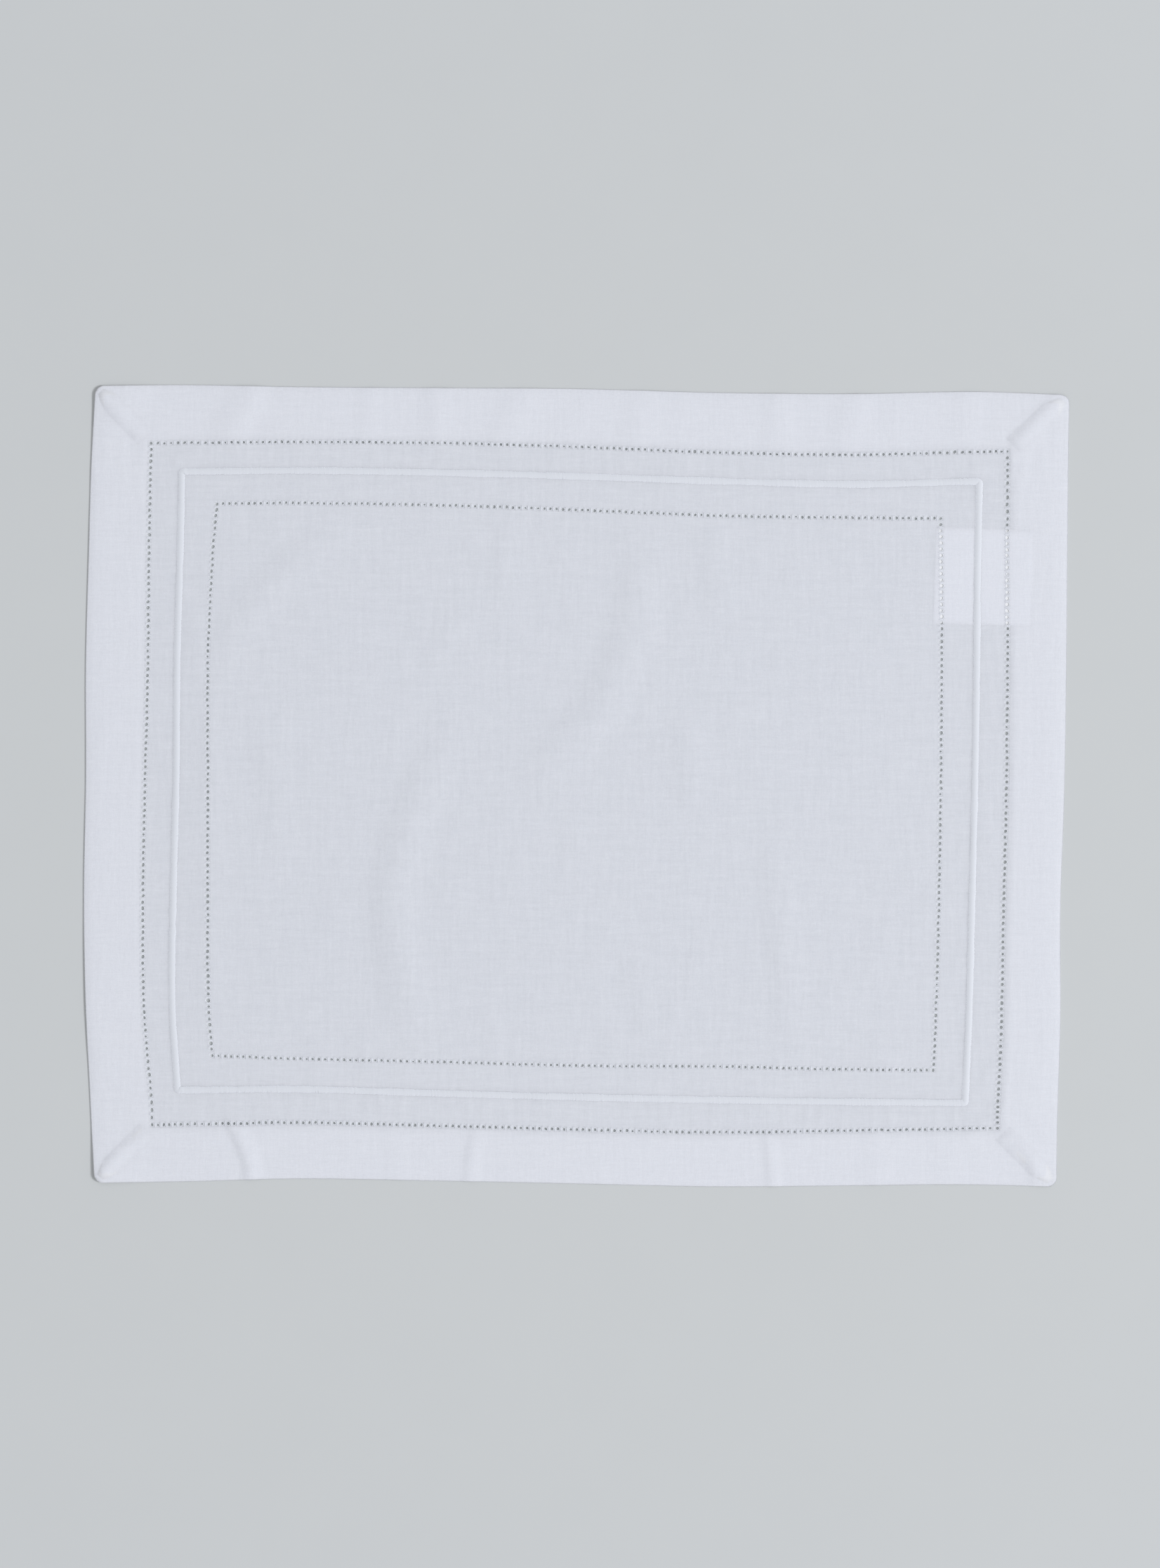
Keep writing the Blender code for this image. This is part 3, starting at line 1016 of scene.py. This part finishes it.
@dataclass
class LinenCloth:
    """The linen sheet: centre field, border, holes, folded hem and mitred corners."""

    mat: LyingMat
    thickness: float = 0.3 * MM
    hem_level: float = 0.95 * MM
    edge_level: float = 0.62 * MM
    edge_rise: float = 7.0 * MM
    return_level: float = 0.17 * MM
    ground_level: float = 0.74 * MM
    row_width: float = 3.2 * MM
    border_cells: int = 9
    inner_gaps_across: int = 115
    inner_gaps_along: int = 90
    hem_lines: tuple[float, ...] = (3.6, 7.1, 10.6, 14.1, 17.6, 21.2, 24.8)
    hole_reach: float = 0.94 * MM
    hole_unevenness: float = 0.08 * MM
    hole_stray: float = 0.11 * MM
    hole_tilt: float = 0.5
    hole_narrowing: float = 0.12 * MM
    small_share: float = 0.07
    small_size: float = 0.78
    fine_corner: float = 40 * MM
    fine_creases: tuple[float, ...] = (-170.0, -54.0, 98.0)
    fine_reach: float = 12 * MM
    mitre_half_width: float = 3.5 * MM
    mitre_gap: float = 3.0 * MM
    mitre_taper: float = 8 * MM
    mitre_steps: int = 8
    seed: int = 41
    holes: dict[Row, list[list[Hole]]] = field(default_factory=dict)

    def fold_radius(self) -> float:
        """Return the radius of the hem's folded edge."""
        return (self.edge_level - self.return_level) / 2

    def level(self, inset: Array | float) -> Array:
        """Work out the height of the middle of the top layer.

        Args:
            inset: Distances in from the outline.

        Returns:
            The heights there.
        """
        radius, sizes = self.fold_radius(), self.mat.sizes
        centre = self.return_level + radius
        steps = (
            (0.0, centre),
            (radius * (1 - SIN_45), centre + radius * SIN_45),
            (radius, self.edge_level),
            (self.edge_rise, self.hem_level),
            (sizes.hem - self.row_width / 2, self.hem_level),
            (sizes.hem, (self.hem_level + self.ground_level) / 2),
            (sizes.hem + self.row_width / 2, self.ground_level),
        )
        return np.interp(inset, *zip(*steps))

    def under_level(self, inset: Array | float) -> Array:
        """Work out the height of the middle of the hem's under layer.

        Args:
            inset: Distances in from the outline.

        Returns:
            The heights there.
        """
        radius = self.fold_radius()
        centre = self.return_level + radius
        steps = (
            (0.0, centre),
            (radius * (1 - SIN_45), centre - radius * SIN_45),
            (radius, self.return_level),
        )
        return np.interp(inset, *zip(*steps))

    def lines(self, half: float, inner_gaps: int) -> list[float]:
        """Return the flat pattern's cell lines from one edge to the other.

        Args:
            half: Half the mat's flat size in that direction.
            inner_gaps: How many hole pitches the inner row spans in that direction.

        Returns:
            The lines' places, in rising order.
        """
        radius, sizes = self.fold_radius(), self.mat.sizes
        inner_corner = half - sizes.inner_row_inset
        pitch = 2 * inner_corner / inner_gaps
        insets = [0.0, radius * (1 - SIN_45), radius, *(line * MM for line in self.hem_lines)]
        outer_start, outer_stop = sizes.hem - self.row_width / 2, sizes.hem + self.row_width / 2
        border_stop = sizes.inner_row_inset - pitch / 2
        insets += [outer_start, *np.linspace(outer_stop, border_stop, self.border_cells + 1)]
        field_lines = -inner_corner + pitch * (np.arange(inner_gaps) + 0.5)
        return [inset - half for inset in insets] + list(field_lines) + [half - i for i in reversed(insets)]

    def row_runs(self, count_u: int, count_v: int) -> dict[Row, tuple[int, int, int, int]]:
        """Return the first and last cell of each row, across and along.

        Args:
            count_u: The number of cells across.
            count_v: The number of cells along.

        Returns:
            For each row its low and high cell in u, then in v.
        """
        outer = 3 + len(self.hem_lines)
        inner = outer + self.border_cells + 1
        return {
            row: (start, count_u - 1 - start, start, count_v - 1 - start)
            for row, start in ((Row.OUTER, outer), (Row.INNER, inner))
        }

    def row_cells(self, run: tuple[int, int, int, int]) -> list[list[tuple[int, int]]]:
        """List a row's cells in order round the mat.

        Args:
            run: The row's low and high cell in u, then in v.

        Returns:
            Its cells on the near, right, far and left side.
        """
        low_u, high_u, low_v, high_v = run
        return [
            [(i, low_v) for i in range(low_u, high_u)],
            [(high_u, j) for j in range(low_v, high_v)],
            [(i, high_v) for i in range(high_u, low_u, -1)],
            [(low_u, j) for j in range(high_v, low_v, -1)],
        ]

    def make_holes(self, us: Sequence[float], vs: Sequence[float]) -> dict[tuple[int, int], Hole]:
        """Place the holes of both rows, each a little different.

        Args:
            us: The pattern's lines across.
            vs: The pattern's lines along.

        Returns:
            The hole in each cell that has one.
        """
        draw = np.random.default_rng(self.seed)
        found: dict[tuple[int, int], Hole] = {}
        for row, run in self.row_runs(len(us) - 1, len(vs) - 1).items():
            self.holes[row] = []
            for number, cells in enumerate(self.row_cells(run)):
                side = []
                narrowing = self.hole_narrowing if number % 2 == 0 else 0.0
                for i, j in cells:
                    stray = draw.normal(0, self.hole_stray, 2).clip(-2 * self.hole_stray, 2 * self.hole_stray)
                    reach = self.hole_reach - narrowing + draw.normal(0, self.hole_unevenness, 2)
                    reach = reach * (self.small_size if draw.random() < self.small_share else 1.0)
                    hole = Hole(
                        u=(us[i] + us[i + 1]) / 2 + stray[0],
                        v=(vs[j] + vs[j + 1]) / 2 + stray[1],
                        reach_u=float(reach[0]),
                        reach_v=float(reach[1]),
                        tilt=float(draw.normal(0, self.hole_tilt)),
                    )
                    side.append(hole)
                    found[(i, j)] = hole
                self.holes[row].append(side)
        return found

    def is_fine(self, u: float, v: float) -> bool:
        """Tell whether a flat place lies where puckers or a crease need closer cells.

        Args:
            u: The flat place along X.
            v: The flat place along Y.

        Returns:
            Whether it does.
        """
        sizes = self.mat.sizes
        inset = float(sizes.inset(u, v))
        half_row = self.row_width / 2
        in_band = sizes.hem + half_row < inset < sizes.cord_inset
        in_hem = inset < sizes.hem - half_row
        at_corner = max(sizes.width / 2 - abs(u), sizes.depth / 2 - abs(v)) < self.fine_corner
        at_crease = v < 0 and any(abs(u - crease * MM) < self.fine_reach for crease in self.fine_creases)
        return in_band or in_hem and (at_corner or at_crease)

    def build(self) -> bpy.types.Object:
        """Build the sheet over its flat pattern and lay it on the table.

        Returns:
            The sheet.
        """
        sizes = self.mat.sizes
        us = self.lines(sizes.width / 2, self.inner_gaps_across)
        vs = self.lines(sizes.depth / 2, self.inner_gaps_along)
        holes = self.make_holes(us, vs)
        count_u, count_v = len(us) - 1, len(vs) - 1
        low_u, high_u, low_v, high_v = self.row_runs(count_u, count_v)[Row.OUTER]
        fine = {
            (i, j)
            for i in range(count_u)
            for j in range(count_v)
            if self.is_fine((us[i] + us[i + 1]) / 2, (vs[j] + vs[j + 1]) / 2)
        }
        split = {
            (2 * i + di, 2 * j + dj)
            for i, j in fine | set(holes)
            for di, dj in ((1, 0), (2, 1), (1, 2), (0, 1))
        }
        pattern = Pattern()
        known: dict[tuple[bool, int, int], int] = {}

        def at(i: int, j: int, under: bool) -> int:
            """Find a point of the pattern, and add it where it is new.

            Args:
                i: Its place across, in half cells.
                j: Its place along, in half cells.
                under: Whether it is in the hem's under layer.

            Returns:
                The point's number.
            """
            u = (us[i // 2] + us[(i + 1) // 2]) / 2
            v = (vs[j // 2] + vs[(j + 1) // 2]) / 2
            on_outline = i in (0, 2 * count_u) or j in (0, 2 * count_v)
            key = (under and not on_outline, i, j)
            if key not in known:
                known[key] = len(pattern.points)
                inset = sizes.inset(u, v)
                height = self.under_level(inset) if key[0] else self.level(inset)
                pattern.points.append((u, v, float(height)))
            return known[key]

        around = ((0, 0), (1, 0), (2, 0), (2, 1), (2, 2), (1, 2), (0, 2), (0, 1))
        for i in range(count_u):
            for j in range(count_v):
                in_hem = i < low_u or i > high_u or j < low_v or j > high_v
                rim = [(2 * i + di, 2 * j + dj) for di, dj in around]
                for under in (False, True) if in_hem else (False,):
                    if (i, j) in holes:
                        self.cut_hole(pattern, [at(a, b, False) for a, b in rim], holes[(i, j)])
                    elif (i, j) in fine and not under:
                        middle = at(2 * i + 1, 2 * j + 1, under)
                        edge = [at(a, b, under) for a, b in rim]
                        for k in (0, 2, 4, 6):
                            pattern.add_face((edge[k], edge[k + 1], middle, edge[k - 1]))
                    else:
                        loop = [p for k, p in enumerate(rim) if k % 2 == 0 or p in split]
                        pattern.add_face([at(a, b, under) for a, b in loop], turned=under)
        self.add_mitres(pattern)
        u, v, level = np.array(pattern.points).T
        cloth = mesh_object("linen_cloth", self.mat.place(u, v, level), pattern.faces)
        cloth.data.polygons.foreach_set("material_index", np.array(pattern.turned, dtype=np.int32))
        solid = cloth.modifiers.new("thickness", "SOLIDIFY")
        solid.thickness = self.thickness
        solid.offset = 0.0
        return cloth

    def cut_hole(self, pattern: Pattern, edge: Sequence[int], hole: Hole) -> None:
        """Add the faces of one cell round its hole.

        Args:
            pattern: The pattern, which grows.
            edge: The eight points round the cell.
            hole: The hole.
        """
        steps = len(edge)
        angles = math.radians(-135) + 2 * math.pi * np.arange(steps) / steps
        u, v = hole.edge(angles)
        level = self.level(self.mat.sizes.inset(u, v))
        start = len(pattern.points)
        pattern.points.extend(zip(u.tolist(), v.tolist(), level.tolist()))
        for k in range(steps):
            following = (k + 1) % steps
            pattern.add_face((edge[k], edge[following], start + following, start + k))

    def add_mitres(self, pattern: Pattern) -> None:
        """Add the seam allowance that is folded inside each mitred corner.

        Args:
            pattern: The pattern, which grows.
        """
        sizes = self.mat.sizes
        level = (self.hem_level + self.return_level) / 2
        insets = np.linspace(self.mitre_gap, sizes.hem - self.mitre_gap, self.mitre_steps + 1)
        for side_u in (-1, 1):
            for side_v in (-1, 1):
                start = len(pattern.points)
                for inset in insets:
                    spread = self.mitre_half_width * min(1.0, inset / self.mitre_taper)
                    for off in (-1, 0, 1):
                        u = side_u * (sizes.width / 2 - inset - off * spread)
                        v = side_v * (sizes.depth / 2 - inset + off * spread)
                        pattern.points.append((u, v, level))
                for step in range(self.mitre_steps):
                    for column in (0, 1):
                        a = start + 3 * step + column
                        pattern.add_face((a, a + 1, a + 4, a + 3), turned=True)


@dataclass
class HemstitchRow:
    """The threads of one drawn-thread row: a bound ring round each hole and the bars between.

    A bar's arch, its waist and the ring's turns are shares of its rise, its spread and its radius.
    """

    cloth: LinenCloth
    row: Row
    ring_steps: int = 14
    ring_sides: int = 5
    ring_radius: float = 0.13 * MM
    ring_turns: tuple[float, float] = (1.1, 0.85)
    ring_unevenness: tuple[float, float] = (0.9, 1.15)
    ring_rise: float = 0.08 * MM
    thread_sides: int = 4
    thread_places: tuple[float, ...] = (-1.0, -0.55, 0.0, 0.55, 1.0)
    thread_arch: tuple[float, ...] = (-0.35, 0.55, 1.0, 0.55, -0.35)
    thread_unevenness: tuple[float, float] = (0.85, 1.15)
    lean_spread: float = 0.25
    bar_half_length: float = 1.3 * MM
    bar_spread: float = 0.26 * MM
    bar_waist: tuple[float, ...] = (1.25, 0.9, 0.65, 0.9, 1.25)
    bar_lean_share: float = 0.3
    bar_radius: float = 0.13 * MM
    bar_rise: float = 0.03 * MM
    wrap_half_length: float = 0.5 * MM
    wrap_lean: float = 0.5
    wrap_radius: float = 0.1 * MM
    wrap_rise: float = 0.06 * MM
    seed: int = 7

    def raise_from(self, u: Array, v: Array, above: Array | float) -> Array:
        """Place flat points at heights over the cloth's middle layer."""
        level = self.cloth.level(self.cloth.mat.sizes.inset(u, v))
        return self.cloth.mat.place(u, v, level + above)

    def rings(self, draw: np.random.Generator) -> tuple[Array, list[tuple[int, ...]]]:
        """Bind each hole's edge with thread, thicker and thinner by turns.

        Args:
            draw: The source of random numbers.

        Returns:
            The rings' points and faces.
        """
        holes = [hole for side in self.cloth.holes[self.row] for hole in side]
        angles = 2 * math.pi * np.arange(self.ring_steps) / self.ring_steps
        edges = np.array([hole.edge(angles) for hole in holes])
        paths = self.raise_from(edges[:, 0], edges[:, 1], self.ring_rise)
        turns = np.tile(self.ring_turns, self.ring_steps // 2)
        radii = self.ring_radius * turns * draw.uniform(*self.ring_unevenness, paths.shape[:2])
        return sweep(paths, radii, self.ring_sides, closed=True)

    def bars(self, draw: np.random.Generator) -> list[tuple[Array, list[tuple[int, ...]]]]:
        """Run the threads across the row between neighbouring holes, and bind their waist.

        Args:
            draw: The source of random numbers.

        Returns:
            The points and faces of the threads, and those of the wraps.
        """
        threads, wraps = [], []
        places, arch, waist = map(np.array, (self.thread_places, self.thread_arch, self.bar_waist))
        bar, wrap = self.bar_half_length * places, self.wrap_half_length * places
        for number, side in enumerate(self.cloth.holes[self.row]):
            run = np.array((1.0, 0.0)) if number % 2 == 0 else np.array((0.0, 1.0))
            across = run[::-1]
            for hole, following in zip(side, side[1:]):
                middle = np.array((hole.u + following.u, hole.v + following.v)) / 2
                lean = draw.normal(0, self.lean_spread)
                for place in (-1, 0, 1):
                    off = self.bar_spread * place * waist + bar * lean * self.bar_lean_share
                    threads.append(middle + np.outer(off, run) + np.outer(bar, across))
                wraps.append(middle + np.outer(wrap, run) + np.outer(wrap * (self.wrap_lean + lean), across))
        parts = []
        kinds = ((threads, self.bar_radius, self.bar_rise), (wraps, self.wrap_radius, self.wrap_rise))
        for flats, radius, rise in kinds:
            stack = np.array(flats)
            paths = self.raise_from(stack[..., 0], stack[..., 1], rise * arch)
            radii = radius * draw.uniform(*self.thread_unevenness, paths.shape[:2])
            parts.append(sweep(paths, radii, self.thread_sides, closed=False))
        return parts

    def build(self) -> bpy.types.Object:
        """Build the row's threads as one piece.

        Returns:
            The threads.
        """
        draw = np.random.default_rng(self.seed)
        points, faces = join_parts([self.rings(draw), *self.bars(draw)])
        return mesh_object(f"{self.row.value}_hemstitch", points, faces)


@dataclass
class SatinCord:
    """The cord between the rows: a filler covered with close satin stitches.

    Its section is in shares of its half width and height: a crown above, and two places below.
    """

    cloth: LinenCloth
    half_width: float = 1.8 * MM
    height: float = 0.36 * MM
    crown_places: tuple[float, ...] = (-1.0, -0.94, -0.74, -0.4, 0.0, 0.4, 0.74, 0.94, 1.0)
    under_places: tuple[float, float] = (0.7, -0.7)
    under_drop: float = 0.08
    sink: float = 0.08 * MM
    corner_radius: float = 0.9 * MM
    stitch_pitch: float = 0.42 * MM
    stitch_unevenness: float = 0.025
    valley: float = 0.97
    swell: float = 0.06
    swell_stitches: int = 12
    reach_unevenness: float = 0.035
    slant: float = 0.22 * MM
    slant_unevenness: float = 0.3
    heading_steps: int = 4
    seed: int = 19

    def route(self) -> tuple[Array, Array]:
        """Return the cord's closed route in flat coordinates, two places for each stitch.

        Returns:
            The places across and along the mat.
        """
        sizes = self.cloth.mat.sizes
        half_u, half_v = sizes.width / 2 - sizes.cord_inset, sizes.depth / 2 - sizes.cord_inset
        bend = self.corner_radius
        straight_u, straight_v = 2 * (half_u - bend), 2 * (half_v - bend)
        quarter = math.pi * bend / 2
        total = 2 * (straight_u + straight_v) + 4 * quarter
        count = 2 * round(total / self.stitch_pitch)
        at = total * np.arange(count) / count
        u, v = np.zeros(count), np.zeros(count)
        start = 0.0
        legs = (
            (straight_v, (half_u, -(half_v - bend)), (0, 1)),
            (straight_u, (half_u - bend, half_v), (-1, 0)),
            (straight_v, (-half_u, half_v - bend), (0, -1)),
            (straight_u, (-(half_u - bend), -half_v), (1, 0)),
        )
        for number, (length, origin, way) in enumerate(legs):
            here = (at >= start) & (at < start + length)
            u[here] = origin[0] + way[0] * (at[here] - start)
            v[here] = origin[1] + way[1] * (at[here] - start)
            start += length
            here = (at >= start) & (at < start + quarter)
            turn = math.pi / 2 * (number + (at[here] - start) / quarter)
            centre_u = math.copysign(half_u - bend, (1, -1, -1, 1)[number])
            centre_v = math.copysign(half_v - bend, (1, 1, -1, -1)[number])
            u[here] = centre_u + bend * np.cos(turn)
            v[here] = centre_v + bend * np.sin(turn)
            start += quarter
        return u, v

    def build(self) -> bpy.types.Object:
        """Build the stitched cord as one ribbed ring.

        Returns:
            The cord.
        """
        draw = np.random.default_rng(self.seed)
        u, v = self.route()
        level = self.cloth.level(self.cloth.mat.sizes.inset(u, v)) + self.cloth.thickness / 2 - self.sink
        centres = self.cloth.mat.place(u, v, level)
        steps = self.heading_steps
        ahead = unit(np.roll(centres, -steps, axis=0) - np.roll(centres, steps, axis=0))
        side = unit(np.cross(ahead, UP))
        stitches = len(u) // 2
        knots = draw.normal(1.0, self.swell, stitches // self.swell_stitches)
        at = np.linspace(0, len(knots), stitches)
        swell = np.interp(at, np.arange(len(knots) + 1), np.append(knots, knots[0]))
        size = swell * draw.normal(1.0, self.stitch_unevenness, stitches)
        scale = np.repeat(size, 2) * np.tile((1.0, self.valley), stitches)
        reach = np.repeat(draw.normal(1.0, self.reach_unevenness, stitches), 2)
        lean = self.slant * np.repeat(draw.normal(1.0, self.slant_unevenness, stitches), 2)
        across = np.append(self.crown_places, self.under_places)
        under = np.arange(len(across)) >= len(self.crown_places)
        crown = np.where(under, -self.under_drop, 1 - across**2)
        offset = self.half_width * across * (reach * scale)[:, None]
        rise = self.height * crown * scale[:, None]
        rings = centres[:, None] + side[:, None] * offset[..., None]
        rings = rings + ahead[:, None] * (lean[:, None] * across)[..., None] + UP * rise[..., None]
        index = np.arange(rings[..., 0].size).reshape(rings.shape[:2])
        after, beside = np.roll(index, -1, axis=0), np.roll(index, -1, axis=1)
        quads = np.stack((index, beside, np.roll(after, -1, axis=1), after), axis=-1)
        return mesh_object("satin_stitched_cord", rings.reshape(-1, 3), quads.reshape(-1, 4).tolist())


@dataclass
class CareLabel:
    """The plain label: a tape folded at its free end, the other end caught in the hem."""

    cloth: LinenCloth
    width: float = 49.5 * MM
    depth: float = 49 * MM
    centre: tuple[float, float] = (207.0 * MM, 106.5 * MM)
    turn: float = -2.0
    thickness: float = 0.14 * MM
    folded_back: float = 27 * MM
    free_level: float = 0.36 * MM
    hem_level: float = 0.58 * MM
    rise_reach: tuple[float, float] = (-3 * MM, 6 * MM)
    ply_gap: float = 0.22 * MM
    columns: int = 24
    rows: int = 20

    def build(self) -> bpy.types.Object:
        """Build the tape, from the end in the hem to the fold and back under itself.

        Returns:
            The label.
        """
        turn = math.radians(self.turn)
        half = self.width / 2
        out = np.linspace(half, -half, self.columns + 1)
        back = np.linspace(-half, -half + self.folded_back, self.columns // 2 + 1)
        bend = np.array((-half - self.ply_gap / 2,))
        along = np.concatenate((out, bend, back))
        mat = self.cloth.mat
        x = self.centre[0] + along * math.cos(turn)
        inset = mat.sizes.width / 2 - np.abs(x)
        rise_places = [mat.sizes.hem + reach for reach in self.rise_reach]
        rise = np.interp(inset, rise_places, (self.hem_level, self.free_level))
        drop = np.repeat((0.0, self.ply_gap / 2, self.ply_gap), (len(out), len(bend), len(back)))
        across = np.linspace(-self.depth / 2, self.depth / 2, self.rows + 1)
        grid_x = x - across[:, None] * math.sin(turn)
        grid_y = self.centre[1] + along * math.sin(turn) + across[:, None] * math.cos(turn)
        height = mat.lift(grid_x, grid_y) + (rise - drop)
        points = np.stack((grid_x - mat.middle[0], grid_y - mat.middle[1], height), axis=-1)
        index = np.arange(grid_x.size).reshape(grid_x.shape)
        quads = np.stack((index[:-1, :-1], index[1:, :-1], index[1:, 1:], index[:-1, 1:]), axis=-1)
        label = mesh_object("plain_label", points.reshape(-1, 3), quads.reshape(-1, 4).tolist())
        solid = label.modifiers.new("thickness", "SOLIDIFY")
        solid.thickness = self.thickness
        solid.offset = 0.0
        return label


@dataclass
class Studio:
    """The floor, the soft light and the camera."""

    floor_half_size: float = 3.0
    picture_pixels: tuple[int, int] = (1652, 2233)
    pixels_per_mm: float = 2.8
    origin_pixel: tuple[float, float] = (821.0, 1119.0)
    lens: float = 90.0
    sensor: float = 36.0
    sky_strength: float = 0.58
    key_power: float = 565.0
    key_distance: float = 9.6
    key_size: float = 2.6
    key_azimuth: float = -11.0
    key_elevation: float = 43.0
    light_colour: Colour = (1.0, 1.0, 1.035)

    def build_floor(self) -> bpy.types.Object:
        """Build the pale floor under the mat.

        Returns:
            The floor.
        """
        half = self.floor_half_size
        corners = np.array(((-half, -half, 0), (half, -half, 0), (half, half, 0), (-half, half, 0)))
        floor = mesh_object("floor", corners, [(0, 1, 2, 3)])
        floor.data.materials.append(FLOOR_PAPER.material())
        return floor

    def build_light(self) -> None:
        """Light the mat with an even pale sky and a wide soft lamp at the right, a little to the front."""
        world = bpy.data.worlds.new("pale_room")
        world.use_nodes = True
        sky = world.node_tree.nodes["Background"]
        sky.inputs["Color"].default_value = (*self.light_colour, 1.0)
        sky.inputs["Strength"].default_value = self.sky_strength
        bpy.context.scene.world = world
        lamp = bpy.data.lights.new("soft_lamp", "AREA")
        lamp.shape = "DISK"
        lamp.size = self.key_size
        lamp.color = self.light_colour
        lamp.energy = self.key_power
        azimuth, elevation = math.radians(self.key_azimuth), math.radians(self.key_elevation)
        level = math.cos(elevation)
        way = Vector((math.cos(azimuth) * level, math.sin(azimuth) * level, math.sin(elevation)))
        obj = bpy.data.objects.new("soft_lamp", lamp)
        obj.location = way * self.key_distance
        obj.rotation_euler = way.to_track_quat("Z", "Y").to_euler()
        bpy.context.scene.collection.objects.link(obj)

    def build_camera(self) -> None:
        """Look straight down, framed as the photograph is."""
        width, height = self.picture_pixels
        view_height = height / self.pixels_per_mm * MM
        data = bpy.data.cameras.new("camera")
        data.sensor_fit = "VERTICAL"
        data.sensor_height = self.sensor
        data.lens = self.lens
        camera = bpy.data.objects.new("camera", data)
        across = (width / 2 - self.origin_pixel[0]) / self.pixels_per_mm * MM
        along = (self.origin_pixel[1] - height / 2) / self.pixels_per_mm * MM
        camera.location = (across, along, view_height * self.lens / self.sensor)
        bpy.context.scene.collection.objects.link(camera)
        bpy.context.scene.camera = camera

    def build(self) -> None:
        """Build all of the studio, with colours shown as they are lit."""
        self.build_floor()
        self.build_light()
        self.build_camera()
        bpy.context.scene.view_settings.view_transform = "Standard"


@dataclass
class Placemat:
    """The whole placemat, piece by piece."""

    groups: NodeGroups = field(default_factory=NodeGroups)
    mat: LyingMat = field(default_factory=LyingMat)
    flat_width: float = 552 * MM
    flat_depth: float = 460 * MM

    def dress(self, piece: bpy.types.Object, finish: ClothFinish) -> None:
        """Give a piece its finish and let it ride on the mat's body.

        Args:
            piece: The piece.
            finish: Its finish.
        """
        piece.data.materials.append(finish.material(self.groups))
        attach(piece, BODY)
        log.info("%s: %d faces", piece.name, len(piece.data.polygons))

    def build(self) -> None:
        """Build every piece, dress it and hide the solids that the pieces replace."""
        cloth = LinenCloth(self.mat)
        sheet = cloth.build()
        self.dress(sheet, LINEN)
        sheet.data.materials.append(TURNED_LINEN.material(self.groups))
        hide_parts("mat_cloth")
        for row in Row:
            threads = HemstitchRow(cloth, row).build()
            self.dress(threads, STITCH_THREAD)
        cord = SatinCord(cloth).build()
        self.dress(cord, SATIN_THREAD)
        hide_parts("satin_cord")
        maker = CareLabel(cloth)
        label = maker.build()
        self.dress(label, TAPE)
        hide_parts("care_label")


def main() -> None:
    """Build the studio and the placemat."""
    logging.basicConfig(level=logging.INFO, format="%(name)s: %(message)s")
    Studio().build()
    Placemat().build()


if __name__ == "__main__":
    main()
